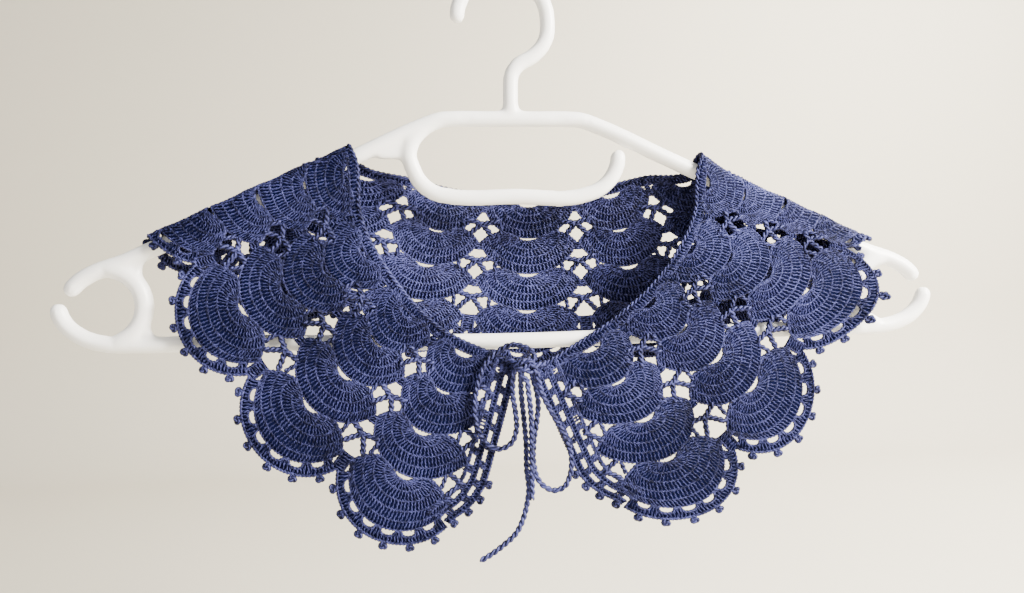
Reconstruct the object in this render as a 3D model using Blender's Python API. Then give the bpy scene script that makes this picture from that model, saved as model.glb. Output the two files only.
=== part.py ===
"""Crocheted lace collar, tied in a bow at the front, on a moulded clothes hanger.

Frame: +Z up, the collar's front faces -Y. The origin is the inner top of the
hanger's hook, where a rail or a peg holds it. Sizes are millimetres; meshes
are written in metres.

The collar is a ring sector of 13 fan columns. A place in it is (s, d): s counts
columns from the wearer's right front edge round the back to the left one, and
d is the distance from the neck edge. drape() carries (s, d) to its place on the
hanger: four columns on each front, five at the back, folded over both arms.
"""

import math

import bmesh
import bpy
import numpy as np
from mathutils import Vector
from mathutils.geometry import delaunay_2d_cdt

MM = 0.001
GAP = 0.3

# Hanger
STEM_X = 3.3
BAR_RADIUS = 4.0
BAR_SIDES_RESOLUTION = 3
HOOK_INNER_RADIUS = 18.1
HOOK_RADIUS = 3.8
TOP_BAR_Z = -65.8
BEND_REACH = 34.8
ARM_SLOPE = 0.456
LOW_BAR_Z = -169.7
LOW_BAR_BOW = 2.4
RING_REACH = 188.3
RING_Z = -152.0
RING_RADIUS = 17.5
RING_TUBE_RADIUS = 4.4
RING_ARC_DEGREES = (220.2, 124.6)
LOOP_TUBE_RADIUS = 3.9
HOOK_STEP = 3.6
HOOK_BEND = (
    # x, z from the right side of the hook's round down to the stem
    (21.8, -24.0), (19.4, -30.2), (13.6, -36.0), (6.8, -40.0), (3.8, -44.6), (STEM_X, -50.0))
SHOULDER_END = (
    # distance from the stem, z: how an arm's tip bows down into its belt hook
    (180.0, -132.0), (187.0, -134.2), (194.0, -137.0), (199.0, -140.0), (202.4, -143.4))
LOWER_END = (
    # distance from the stem, z: how the lower bar turns up round the belt hook
    (178.0, LOW_BAR_Z), (188.0, -169.0), (196.5, -166.6), (203.0, -162.4), (207.2, -157.2), (208.4, -153.6))
LOOP_STEP = 4.2
LOOP_LEFT = (
    # x, z down the loop's left leg into its bar
    (-47.3, -78.3), (-45.8, -83.0), (-44.3, -88.5), (-40.4, -96.2), (-33.5, -101.2), (-26.0, -102.7))
LOOP_RIGHT = (
    # x, z from the loop's bar up its right leg
    (36.5, -102.9), (46.0, -99.6), (52.2, -93.7), (55.0, -87.5), (55.4, -84.2))

# Lace: flat cut
COLUMNS = 13
NECK_RADIUS = 123.0
COLUMN_ANGLE = math.radians(17.0)
NOTCH_DEPTH = 85.0
CLOTH_DEPTH = 105.0
FRONT_EDGE = 0.22
WALL = 2.0
BAND_DEPTH = 2.3
CRESCENT_DEPTHS = (6.6, 26.0, 48.0, 70.0)
DIAMOND_DEPTHS = (19.5, 41.5, 63.5)
CELL_OFFSET = 5.3
CELL_HALF_HEIGHT = 4.2
CELL_HALF_WIDTH = 4.4
SIDE_CELL_OFFSET = 5.7
SIDE_CELL_HALF = 3.6
EDGE_CELL_OFFSET = 4.8
EDGE_CELL_HALF = 2.5
SCALLOP_CENTRE_DEPTH = 70.0
SCALLOP_RADIUS = 32.5
SCALLOP_HALF_ANGLE = math.radians(70.0)
PICOTS = 6
PICOT_SPACING = math.radians(22.2)
PICOT_HEIGHT = 4.0
PICOT_HALF_BASE = math.radians(3.9)
PICOT_HALF_TIP = math.radians(2.5)
EDGE_GAP_RADII = (25.5, 27.8)
EDGE_GAP_HALF_ANGLES = (math.radians(8.0), math.radians(5.6))
FRONT_PICOT_DEPTHS = (58.0, 71.0)

# Lace: where its seams hang. Each row is one seam between columns, with its
# place at the neck edge and at the scallops' notches.
RIBS = (
    # name, s, neck (x, y, z), notch (x, y, z)
    ("left front edge", 0, (-2.6, -7.0, -179.6), (-32.0, -7.0, -260.4)),
    ("left front 1", 1, (-32.2, -7.0, -164.6), (-83.2, -7.0, -231.0)),
    ("left front 2", 2, (-53.9, -7.0, -140.4), (-122.5, -7.0, -185.7)),
    ("left front 3", 3, (-68.0, -7.0, -111.6), (-145.0, -7.0, -133.6)),
    ("back left", 5, (-43.4, 9.0, -93.1), (-77.0, 15.0, -155.0)),
    ("back centre left", 6, (-7.6, 16.5, -99.6), (-18.6, 26.0, -168.8)),
    ("back centre right", 7, (35.4, 16.5, -98.9), (43.8, 26.0, -171.2)),
    ("back right", 8, (70.0, 9.0, -92.4), (100.6, 15.0, -163.2)),
    ("right front 3", 10, (90.2, -7.0, -112.5), (169.6, -7.0, -130.6)),
    ("right front 2", 11, (74.0, -7.0, -140.4), (146.4, -7.0, -180.9)),
    ("right front 1", 12, (49.6, -7.0, -162.0), (110.7, -7.0, -228.8)),
    ("right front edge", 13, (17.0, -7.0, -182.0), (54.0, -7.0, -254.8)),
)
# Each row is a fold over one arm: the seam count that lies on top of the bar
# and its x, at the neck and at the picots, and how far the neck stands off it.
FOLDS = (
    # name, side, s at neck, s at hem, x at neck, x at hem, neck lift
    ("left fold", -1, 4.0, 3.32, -70.5, -167.0, 0.0),
    ("right fold", 1, 9.0, 9.82, 93.6, 186.0, 3.5),
)
FOLD_RADIUS = BAR_RADIUS + GAP + WALL / 2.0 + 0.7
FOLD_STEPS = 7
LIFT_DEPTH = 26.0
FILL_ROOM = 1.3
FILL_SPACING = 2.6

# Tie, in front of the lace
TIE_RADIUS = 1.3
TIE_STEP = 6.0
KNOT_CENTRE = (5.2, -12.4, -183.5)
KNOT_RADII = (5.4, 3.4, 5.6)
TIE_ROUTES = (
    # name, route points (x, y, z) from the knot outward
    ("tie_loop_left", (
        (10.8, -12.4, -179.2), (9.4, -12.4, -176.6), (5.0, -12.2, -174.2), (0.5, -11.6, -173.4),
        (-5.0, -10.6, -175.6), (-11.6, -10.2, -181.2), (-16.0, -10.0, -191.8), (-17.7, -10.0, -203.4),
        (-16.0, -10.0, -213.7), (-11.4, -10.0, -220.4), (-6.3, -10.0, -222.2), (-0.6, -10.2, -219.4),
        (1.7, -10.3, -213.4), (1.4, -10.3, -205.0), (0.2, -10.6, -196.5), (0.4, -11.4, -189.2))),
    ("tie_loop_right", (
        (9.6, -11.2, -189.0), (11.4, -10.2, -194.5), (12.3, -10.0, -200.5), (11.6, -10.0, -209.1),
        (9.9, -10.0, -219.4), (9.7, -10.0, -230.1), (11.2, -10.0, -236.3), (14.6, -10.0, -240.7),
        (19.0, -10.0, -242.7), (24.1, -10.0, -241.1), (26.8, -10.0, -236.0), (27.7, -10.2, -228.5),
        (26.4, -10.6, -221.4), (23.2, -11.4, -214.2), (19.1, -12.4, -207.0), (15.6, -13.2, -200.4),
        (13.0, -13.6, -194.0), (11.6, -13.2, -187.4))),
    ("tie_end_long", (
        (4.0, -11.6, -190.0), (4.3, -10.6, -196.0), (5.4, -10.2, -208.9), (6.2, -10.2, -220.6),
        (6.2, -10.4, -232.3), (7.0, -10.6, -241.7), (5.9, -10.6, -248.7), (4.3, -10.4, -254.7),
        (0.9, -10.2, -261.6), (-4.9, -10.0, -266.9), (-12.0, -10.0, -271.7), (-16.7, -10.0, -274.2))),
    ("tie_end_short", (
        (6.8, -13.6, -189.9), (7.4, -13.8, -196.0), (8.4, -13.6, -208.0), (8.4, -13.5, -220.0),
        (8.3, -13.5, -232.0), (8.2, -13.6, -240.0), (8.0, -13.7, -246.0))),
)

MATERIALS = {
    # name: colour, roughness
    "hanger_plastic": ((0.86, 0.86, 0.84, 1.0), 0.35),
    "navy_cotton": ((0.03, 0.045, 0.16, 1.0), 0.85),
}


def reset():
    """Empty the scene and make the collection that holds the part."""
    for item in list(bpy.data.objects):
        bpy.data.objects.remove(item, do_unlink=True)
    collection = bpy.data.collections.new("lace_collar_on_hanger")
    bpy.context.scene.collection.children.link(collection)
    return collection


def material(name):
    """The named plain finish, made once."""
    found = bpy.data.materials.get(name)
    if found:
        return found
    colour, roughness = MATERIALS[name]
    made = bpy.data.materials.new(name)
    made.use_nodes = True
    shader = made.node_tree.nodes["Principled BSDF"]
    shader.inputs["Base Color"].default_value = colour
    shader.inputs["Roughness"].default_value = roughness
    shader.inputs["Metallic"].default_value = 0.0
    return made


def smooth_route(points, step):
    """Points about one step apart on a smooth curve through the given ones."""
    knots = np.array(points, float)
    spans = np.linalg.norm(np.diff(knots, axis=0), axis=1)
    at = np.concatenate([[0.0], np.cumsum(spans)])
    slope = slopes(at[None, :], knots[None, :, :])[0]
    count = max(2, int(round(at[-1] / step)))
    return hermite(np.linspace(0.0, at[-1], count + 1), at, knots, slope)


def hermite(where, at, knots, slope):
    """Cubic curve through knots at the parameters at, read at where."""
    span = np.clip(np.searchsorted(at, where, side="right") - 1, 0, len(at) - 2)
    width = at[span + 1] - at[span]
    t = ((where - at[span]) / width)[:, None]
    width = width[:, None]
    return (
        knots[span] * (2 * t**3 - 3 * t**2 + 1)
        + slope[span] * width * (t**3 - 2 * t**2 + t)
        + knots[span + 1] * (3 * t**2 - 2 * t**3)
        + slope[span + 1] * width * (t**3 - t**2)
    )


def slopes(at, knots):
    """Slope at each knot: the mean of its two spans, the shorter one counting more."""
    width = np.diff(at, axis=1)[:, :, None]
    rise = np.diff(knots, axis=1) / width
    inner = (rise[:, :-1] * width[:, 1:] + rise[:, 1:] * width[:, :-1]) / (width[:, :-1] + width[:, 1:])
    return np.concatenate([rise[:, :1], inner, rise[:, -1:]], axis=1)


def tube(collection, name, points, radius, finish, resolution):
    """A round bar or cord through the points, with closed ends."""
    curve = bpy.data.curves.new(name, "CURVE")
    curve.dimensions = "3D"
    curve.bevel_depth = radius * MM
    curve.bevel_resolution = resolution
    curve.use_fill_caps = True
    spline = curve.splines.new("POLY")
    spline.points.add(len(points) - 1)
    for spot, point in zip(spline.points, points):
        spot.co = (point[0] * MM, point[1] * MM, point[2] * MM, 1.0)
    curve.materials.append(material(finish))
    item = bpy.data.objects.new(name, curve)
    collection.objects.link(item)
    return item


def mirrored(right_half):
    """The whole run of a bar from (distance from the stem, z) pairs of its right half."""
    left = [(STEM_X - x, 0.0, z) for x, z in reversed(right_half) if x > 0.0]
    right = [(STEM_X + x, 0.0, z) for x, z in right_half]
    return left + right


def upright(pairs):
    """Places in the hanger's own plane from (x, z) pairs."""
    return [(x, 0.0, z) for x, z in pairs]


def arm_height(reach):
    """Height of an arm's centre line at a distance from the stem."""
    return TOP_BAR_Z - ARM_SLOPE * (np.maximum(reach, BEND_REACH) - BEND_REACH)


def hanger(collection):
    """Hook, shoulder bar, lower bar, scarf loop and the two open end rings."""
    radius = HOOK_INNER_RADIUS + HOOK_RADIUS
    arc = [
        (radius * math.cos(math.radians(a)), 0.0, radius * math.sin(math.radians(a)) - HOOK_INNER_RADIUS)
        for a in range(180, -1, -15)
    ]
    tip = [(-radius + 0.2, 0.0, -HOOK_INNER_RADIUS - 2.3)]
    bend = upright(((radius, -HOOK_INNER_RADIUS),) + HOOK_BEND + ((STEM_X, TOP_BAR_Z + BAR_RADIUS + GAP),))
    route = tip + arc + list(smooth_route(bend, HOOK_STEP)[1:])
    tube(collection, "hook", route, HOOK_RADIUS, "hanger_plastic", BAR_SIDES_RESOLUTION)

    shoulder = [(28.0, TOP_BAR_Z), (BEND_REACH, TOP_BAR_Z - 0.6)]
    shoulder += [(reach, float(arm_height(reach))) for reach in (41.0, 110.0, 172.0)]
    tube(collection, "shoulder_bar", mirrored(shoulder + list(SHOULDER_END)), BAR_RADIUS,
         "hanger_plastic", BAR_SIDES_RESOLUTION)

    lower = [(0.0, LOW_BAR_Z - LOW_BAR_BOW), (80.0, LOW_BAR_Z - 0.5 * LOW_BAR_BOW), (150.0, LOW_BAR_Z)]
    tube(collection, "lower_bar", mirrored(lower + list(LOWER_END)), BAR_RADIUS,
         "hanger_plastic", BAR_SIDES_RESOLUTION)

    legs = [smooth_route(upright(leg), LOOP_STEP) for leg in (LOOP_LEFT, LOOP_RIGHT)]
    tube(collection, "scarf_loop", list(legs[0]) + list(legs[1]), LOOP_TUBE_RADIUS,
         "hanger_plastic", BAR_SIDES_RESOLUTION)

    first, last = RING_ARC_DEGREES
    angles = np.radians(np.linspace(first, last, 9))
    for side, name in ((-1, "end_ring_left"), (1, "end_ring_right")):
        x = STEM_X + side * (RING_REACH + RING_RADIUS * np.cos(angles))
        route = upright(zip(x, RING_Z + RING_RADIUS * np.sin(angles)))
        tube(collection, name, route, RING_TUBE_RADIUS, "hanger_plastic", BAR_SIDES_RESOLUTION)


def column_width(d):
    """Width of one column at a distance from the neck edge."""
    return (NECK_RADIUS + d) * COLUMN_ANGLE


def fold_knots(fold, d):
    """Seam counts and places of the cloth on its half circle over an arm."""
    _, side, neck_s, hem_s, neck_x, hem_x, lift = fold
    share = d / CLOTH_DEPTH
    top_s = neck_s + (hem_s - neck_s) * share
    x = neck_x + (hem_x - neck_x) * share
    z = arm_height(np.abs(x - STEM_X)) + lift * np.clip(1.0 - d / LIFT_DEPTH, 0.0, 1.0) ** 2
    tilt = math.atan(ARM_SLOPE)
    outward = np.array([side * math.sin(tilt), 0.0, math.cos(tilt)])
    places = []
    counts = []
    for step in range(FOLD_STEPS):
        turn = math.pi * step / (FOLD_STEPS - 1)
        toward_back = 1 if side < 0 else -1
        arc = (turn - math.pi / 2.0) * FOLD_RADIUS
        counts.append(top_s + arc / column_width(d))
        y = -toward_back * FOLD_RADIUS * math.cos(turn)
        centre = np.stack([x, np.zeros_like(x), z], axis=-1)
        places.append(centre + FOLD_RADIUS * math.sin(turn) * outward + np.array([0.0, y, 0.0]))
    return counts, places


def drape(s, d):
    """Places of the cloth's middle surface for arrays of seam count and depth."""
    s = np.asarray(s, float)
    d = np.asarray(d, float)
    counts = []
    places = []
    folds = {4: FOLDS[0], 9: FOLDS[1]}
    ribs = {row[1]: row for row in RIBS}
    for seam in range(COLUMNS + 1):
        if seam in folds:
            more_counts, more_places = fold_knots(folds[seam], d)
            counts += more_counts
            places += more_places
            continue
        _, _, neck, notch = ribs[seam]
        share = (d / NOTCH_DEPTH)[:, None]
        counts.append(np.full_like(d, float(seam)))
        places.append(np.array(neck) * (1.0 - share) + np.array(notch) * share)
    at = np.stack(counts, axis=1)
    knots = np.stack(places, axis=1)
    slope = slopes(at, knots)
    span = np.clip((at[:, 1:-1] <= s[:, None]).sum(axis=1), 0, at.shape[1] - 2)
    row = np.arange(len(s))
    start = at[row, span]
    width = at[row, span + 1] - start
    t = ((s - start) / width)[:, None]
    beyond = t - np.clip(t, 0.0, 1.0)
    t = np.clip(t, 0.0, 1.0)
    width = width[:, None]
    inside = (
        knots[row, span] * (2 * t**3 - 3 * t**2 + 1)
        + slope[row, span] * width * (t**3 - 2 * t**2 + t)
        + knots[row, span + 1] * (3 * t**2 - 2 * t**3)
        + slope[row, span + 1] * width * (t**3 - t**2)
    )
    end_slope = np.where(beyond < 0.0, slope[:, 0], slope[:, -1])
    return inside + end_slope * width * beyond


def drape_normal(s, d):
    """Unit normals of the draped surface, outward from the hanger."""
    step = 0.01
    along = drape(s + step, d) - drape(s - step, d)
    down = drape(s, d + 1.0) - drape(s, d - 1.0)
    normal = np.cross(along, down)
    return normal / np.linalg.norm(normal, axis=1)[:, None]


def flat(points):
    """Flat cut of (s, d) points about the middle of the collar, for triangulation."""
    points = np.asarray(points, float)
    angle = points[:, 0] * COLUMN_ANGLE
    radius = NECK_RADIUS + points[:, 1]
    return np.stack([radius * np.sin(angle), radius * np.cos(angle)], axis=1)


def refine(loop, tolerance):
    """Halve the edges of a closed loop of (s, d) that would cut across a curve."""
    for _ in range(4):
        ends = loop[1:] + loop[:1]
        a = np.array(loop)
        b = np.array(ends)
        middle = (a + b) / 2.0
        miss = drape(middle[:, 0], middle[:, 1])
        miss = miss - (drape(a[:, 0], a[:, 1]) + drape(b[:, 0], b[:, 1])) / 2.0
        far = np.linalg.norm(miss, axis=1) > tolerance
        if not far.any():
            break
        loop = [spot for i, point in enumerate(loop)
                for spot in ([point, tuple(middle[i])] if far[i] else [point])]
    return loop


def inside(points, loop):
    """Which flat points lie inside a closed flat loop."""
    x = points[:, 0][:, None]
    y = points[:, 1][:, None]
    a = loop
    b = np.roll(loop, -1, axis=0)
    spans = (a[:, 1] > y) != (b[:, 1] > y)
    rise = np.where(np.abs(b[:, 1] - a[:, 1]) < 1e-9, 1e-9, b[:, 1] - a[:, 1])
    cross = a[:, 0] + (y - a[:, 1]) * (b[:, 0] - a[:, 0]) / rise
    return (spans & (x < cross)).sum(axis=1) % 2 == 1


def distance_to_loops(points, loops):
    """Distance from each flat point to the nearest edge of the flat loops."""
    best = np.full(len(points), 1e9)
    for loop in loops:
        a = loop[None, :, :]
        b = np.roll(loop, -1, axis=0)[None, :, :]
        p = points[:, None, :]
        edge = b - a
        share = ((p - a) * edge).sum(-1) / np.maximum((edge ** 2).sum(-1), 1e-12)
        nearest = a + np.clip(share, 0.0, 1.0)[:, :, None] * edge
        best = np.minimum(best, np.linalg.norm(p - nearest, axis=2).min(axis=1))
    return best


def thin(points, least):
    """Keep the points that lie at least a distance from all those kept before."""
    kept = []
    places = flat(points)
    for i in range(len(points)):
        if all(np.hypot(*(places[i] - places[j])) >= least for j in kept):
            kept.append(i)
    return [points[i] for i in kept]


def wall(collection, name, outline, holes, fill, thickness):
    """One closed wall of cloth: outline, holes and inner points, all as (s, d)."""
    loops = [refine(loop, 0.3) for loop in [outline] + holes]
    flat_loops = [flat(loop) for loop in loops]
    if fill:
        spots = flat(fill)
        room = distance_to_loops(spots, flat_loops) > FILL_ROOM
        keep = inside(spots, flat_loops[0]) & room
        for hole in flat_loops[1:]:
            keep &= ~inside(spots, hole)
        fill = thin([point for point, good in zip(fill, keep) if good], FILL_SPACING)
    points = [point for loop in loops for point in loop] + list(fill)
    edges = []
    start = 0
    for loop in loops:
        count = len(loop)
        edges += [(start + i, start + (i + 1) % count) for i in range(count)]
        start += count
    spots = flat(points)
    found = delaunay_2d_cdt([Vector(p) for p in spots], edges, [], 1, 1e-6)
    if len(found[0]) != len(points):
        raise ValueError(name + ": loops cross")
    triangles = np.array(found[2])
    centres = spots[triangles].mean(axis=1)
    keep = inside(centres, flat_loops[0])
    for hole in flat_loops[1:]:
        keep &= ~inside(centres, hole)
    triangles = triangles[keep]
    places = np.array(points)
    middle = drape(places[:, 0], places[:, 1])
    normal = drape_normal(places[:, 0], places[:, 1])
    front = middle + normal * thickness / 2.0
    rear = middle - normal * thickness / 2.0
    build = bmesh.new()
    outer = [build.verts.new(Vector(p) * MM) for p in front]
    inner = [build.verts.new(Vector(p) * MM) for p in rear]
    for a, b, c in triangles:
        build.faces.new((outer[a], outer[b], outer[c]))
        build.faces.new((inner[c], inner[b], inner[a]))
    for a, b in edges:
        build.faces.new((outer[a], outer[b], inner[b], inner[a]))
    bmesh.ops.recalc_face_normals(build, faces=build.faces)
    mesh = bpy.data.meshes.new(name)
    build.to_mesh(mesh)
    build.free()
    mesh.materials.append(material("navy_cotton"))
    item = bpy.data.objects.new(name, mesh)
    collection.objects.link(item)
    return item


def beside(seam, side, offset, d):
    """The (s, d) point a distance in millimetres to one side of a seam."""
    return (seam + side * offset / column_width(d), d)


def diamond(seam, side, offset, half_width, d, half_height):
    """One lattice cell beside a seam: a diamond of four points."""
    return [
        beside(seam, side, offset - half_width, d), beside(seam, side, offset, d - half_height),
        beside(seam, side, offset + half_width, d), beside(seam, side, offset, d + half_height)]


def scallop_point(column, radius, angle):
    """Point of a column's scallop, about the middle of its last fan."""
    x = radius * math.sin(angle)
    y = NECK_RADIUS + SCALLOP_CENTRE_DEPTH + radius * math.cos(angle)
    return (column + 0.5 + math.atan2(x, y) / COLUMN_ANGLE, math.hypot(x, y) - NECK_RADIUS)


def scallop(column):
    """The scalloped hem of a column with its picots, from its left notch to its right."""
    outline = []
    for number in range(PICOTS):
        middle = (number - (PICOTS - 1) / 2.0) * PICOT_SPACING
        outline.append(scallop_point(column, SCALLOP_RADIUS, middle - PICOT_HALF_BASE))
        outline.append(scallop_point(column, SCALLOP_RADIUS + PICOT_HEIGHT, middle - PICOT_HALF_TIP))
        outline.append(scallop_point(column, SCALLOP_RADIUS + PICOT_HEIGHT, middle + PICOT_HALF_TIP))
        outline.append(scallop_point(column, SCALLOP_RADIUS, middle + PICOT_HALF_BASE))
    return outline


def seam_side(seam, side):
    """A column's edge along a seam, with the halves of the lattice cells it shares."""
    seam_gap = GAP / 2.0
    start = BAND_DEPTH + GAP
    outline = [beside(seam, side, seam_gap, start)]
    for centre in DIAMOND_DEPTHS:
        for d in (centre - CELL_OFFSET, centre + CELL_OFFSET):
            outline.append(beside(seam, side, seam_gap, d - CELL_HALF_HEIGHT))
            outline.append(beside(seam, side, CELL_HALF_WIDTH, d))
            outline.append(beside(seam, side, seam_gap, d + CELL_HALF_HEIGHT))
    notch = scallop_point(0, SCALLOP_RADIUS, SCALLOP_HALF_ANGLE)[1]
    outline.append(beside(seam, side, seam_gap, notch))
    return outline


def front_side(seam, side):
    """The open front edge beyond the last seam, with its two picots."""
    edge = seam - side * FRONT_EDGE
    first, second = FRONT_PICOT_DEPTHS
    return [
        (edge, BAND_DEPTH + GAP), (edge, first - 2.2),
        beside(edge, -side, PICOT_HEIGHT, first - 1.4), beside(edge, -side, PICOT_HEIGHT, first + 1.8),
        (edge, first + 2.6),
        beside(seam - side * 0.14, -side, 0.0, second - 3.4),
        beside(seam - side * 0.10, -side, PICOT_HEIGHT + 1.6, second - 1.0),
        beside(seam - side * 0.10, -side, PICOT_HEIGHT + 0.6, second + 2.4),
        beside(seam, -side, 1.5, second + 3.2)]


def column_holes(column):
    """Crescents, side cells and edging gaps inside one column."""
    holes = []
    middle = column + 0.5
    for d in CRESCENT_DEPTHS:
        holes.append([
            beside(middle, -1, 3.9, d - 1.3), beside(middle, 1, 3.9, d - 1.3),
            beside(middle, 1, 2.2, d + 1.3), beside(middle, -1, 2.2, d + 1.3)])
    for seam, side in ((column, 1), (column + 1, -1)):
        for d in DIAMOND_DEPTHS:
            holes.append(diamond(seam, side, SIDE_CELL_OFFSET, SIDE_CELL_HALF, d, SIDE_CELL_HALF))
        if seam in (0, COLUMNS):
            for d in DIAMOND_DEPTHS:
                for shift in (-CELL_OFFSET, CELL_OFFSET):
                    holes.append(diamond(seam, side, 0.0, CELL_HALF_WIDTH, d + shift, CELL_HALF_HEIGHT))
                holes.append(diamond(seam, -side, EDGE_CELL_OFFSET, EDGE_CELL_HALF, d, EDGE_CELL_HALF))
    near, far = EDGE_GAP_RADII
    near_half, far_half = EDGE_GAP_HALF_ANGLES
    for number in range(PICOTS):
        angle = (number - (PICOTS - 1) / 2.0) * PICOT_SPACING
        holes.append([
            scallop_point(column, near, angle - near_half), scallop_point(column, near, angle + near_half),
            scallop_point(column, far, angle + far_half), scallop_point(column, far, angle - far_half)])
    return holes


def fold_points(low, high):
    """Points along both folds, close enough together to turn round the bar."""
    points = []
    for fold in FOLDS:
        for d in np.arange(4.0, CLOTH_DEPTH, 6.5):
            counts, _ = fold_knots(fold, np.array([d]))
            points += [(float(c[0]), float(d)) for c in counts if low < c[0] < high]
    return points


def lace(collection):
    """The 13 columns of the collar and the band along its neck."""
    for column in range(COLUMNS):
        left = front_side(0, 1) if column == 0 else seam_side(column, 1)
        last = column == COLUMNS - 1
        right = front_side(COLUMNS, -1) if last else seam_side(column + 1, -1)
        top = [(column + share, BAND_DEPTH + GAP) for share in (0.75, 0.5, 0.25)]
        outline = left + scallop(column) + list(reversed(right)) + top
        grid = [(column + u, d) for d in np.arange(8.0, 100.0, 11.0) for u in (0.2, 0.5, 0.8)]
        fill = fold_points(column, column + 1) + grid
        wall(collection, "lace_column_%02d" % (column + 1), outline, column_holes(column), fill, WALL)
    count = int(round((COLUMNS + 2 * FRONT_EDGE) * 4))
    along = np.linspace(-FRONT_EDGE, COLUMNS + FRONT_EDGE, count + 1)
    band = [(s, 0.0) for s in along] + [(s, BAND_DEPTH) for s in along[::-1]]
    wall(collection, "neck_band", [tuple(map(float, p)) for p in band], [], [], WALL + 0.4)


def tie(collection):
    """The knot, the two loops of the bow and its two free ends."""
    bpy.ops.mesh.primitive_uv_sphere_add(segments=14, ring_count=8, radius=1.0)
    knot = bpy.context.object
    knot.name = "tie_knot"
    knot.data.name = "tie_knot"
    for vertex in knot.data.vertices:
        for axis in range(3):
            vertex.co[axis] = (vertex.co[axis] * KNOT_RADII[axis] + KNOT_CENTRE[axis]) * MM
    knot.data.materials.append(material("navy_cotton"))
    for owner in list(knot.users_collection):
        owner.objects.unlink(knot)
    collection.objects.link(knot)
    for name, points in TIE_ROUTES:
        tube(collection, name, smooth_route(points, TIE_STEP), TIE_RADIUS, "navy_cotton", 2)


def main():
    collection = reset()
    hanger(collection)
    lace(collection)
    tie(collection)


main()
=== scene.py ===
"""Crocheted lace collar on a moulded clothes hanger: its stitches, finishes and stage.

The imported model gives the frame: +Z up, the collar's front faces -Y, and the
origin is the inner top of the hanger's hook. Sizes are worked out in millimetres
and written to meshes in metres.

The collar is a ring sector of 13 fan columns. A place in its flat cut is (s, d):
s counts columns from the wearer's right front edge round the back to the left
one, and d is the distance from the neck edge. drape() carries a place of the cut
to its place on the hanger. Stitches are laid out on strips of the cut, one along
each column and one along each seam, as (x, y): the distance across from the
strip's middle and the distance down from the neck edge.
"""

import math

import bpy
import numpy as np
from mathutils import Matrix, Vector


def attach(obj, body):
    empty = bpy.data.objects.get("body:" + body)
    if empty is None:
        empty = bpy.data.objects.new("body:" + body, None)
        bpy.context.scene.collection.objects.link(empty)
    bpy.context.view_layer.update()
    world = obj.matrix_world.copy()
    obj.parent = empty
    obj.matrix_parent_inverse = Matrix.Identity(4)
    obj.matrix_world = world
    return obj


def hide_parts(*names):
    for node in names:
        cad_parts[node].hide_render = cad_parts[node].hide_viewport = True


bl_info = {
    "name": "Lace collar on a clothes hanger",
    "version": (1, 0, 0),
    "blender": (4, 5, 0),
    "location": "View3D > Sidebar > Lace collar",
    "description": "Crochet stitches, cords and hanger of a lace collar",
    "category": "Add Mesh",
}

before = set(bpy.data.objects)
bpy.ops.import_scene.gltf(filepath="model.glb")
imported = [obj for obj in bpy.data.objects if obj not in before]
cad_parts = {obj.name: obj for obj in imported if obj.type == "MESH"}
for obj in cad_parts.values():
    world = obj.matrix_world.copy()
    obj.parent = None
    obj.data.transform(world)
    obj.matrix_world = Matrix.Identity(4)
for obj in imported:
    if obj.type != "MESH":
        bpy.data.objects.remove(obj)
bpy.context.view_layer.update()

MM = 0.001

# Hanger, as in the part
STEM_X = 3.3
BAR_RADIUS = 4.0
HOOK_INNER_RADIUS = 18.1
HOOK_RADIUS = 3.8
HOOK_TIP = (-21.7, -16.6)
TOP_BAR_Z = -65.8
BEND_REACH = 34.8
ARM_SLOPE = 0.456
ARM_REACHES = (41.0, 75.0, 110.0, 140.0, 172.0)
LOW_BAR_Z = -169.7
LOW_BAR_BOW = 2.4
RING_REACH = 188.3
RING_Z = -152.0
RING_RADIUS = 17.5
RING_TUBE_RADIUS = 4.4
LOOP_TUBE_RADIUS = 3.9
HOOK_BEND = (
    # x, z from the right side of the hook's round down to the stem
    (21.8, -24.0), (19.4, -30.2), (13.6, -36.0), (6.8, -40.0), (3.8, -44.6), (STEM_X, -50.0),
    (STEM_X, TOP_BAR_Z))
SHOULDER_END = (
    # distance from the stem, z: how an arm's tip bows down into its belt hook
    (180.0, -132.0), (187.0, -134.2), (194.0, -137.0), (199.0, -140.0), (202.4, -143.4))
LOWER_END = (
    # distance from the stem, z: how the lower bar turns up round the belt hook
    (178.0, LOW_BAR_Z), (188.0, -169.0), (196.5, -166.6), (203.0, -162.4), (207.2, -157.2),
    (208.4, -153.6))
LOOP_ROUTE = (
    # x, z from the top bar down the left leg, along the scarf loop and up its free right leg
    (-25.0, -65.8), (-31.0, -66.6), (-37.3, -69.4), (-42.2, -73.8), (-45.2, -79.0),
    (-45.8, -83.6), (-44.3, -88.8), (-40.4, -96.2), (-33.5, -101.2), (-26.0, -102.7),
    (5.0, -102.8), (36.5, -102.9), (46.0, -99.6), (52.2, -93.7), (55.0, -87.5), (55.4, -84.2))
WEBS = (
    # corners (x, z) of the flat webs between bars
    ((-63.0, -82.6), (-60.0, -85.0), (-47.0, -85.0), (-41.5, -72.0), (-36.0, -67.5),
     (-45.0, -72.0)),
    ((-185.0, -136.0), (-167.6, -131.0), (-168.3, -139.5), (-178.0, -137.0)),
    ((-186.0, -168.0), (-163.0, -167.5), (-166.0, -159.5), (-172.0, -161.0)),
    ((191.6, -136.0), (174.2, -131.0), (174.9, -139.5), (184.6, -137.0)),
    ((192.6, -168.0), (169.6, -167.5), (172.6, -159.5), (178.6, -161.0)),
)
WEB_HALF = 1.9
ROUTE_STEP = 3.0
BAR_SIDES = 20
CAP_ANGLES = (90.0, 68.0, 45.0, 22.0)
CAP_TIP = 0.02
FILLET_SMOOTHING = (0.6, 7)  # factor, passes
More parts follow.
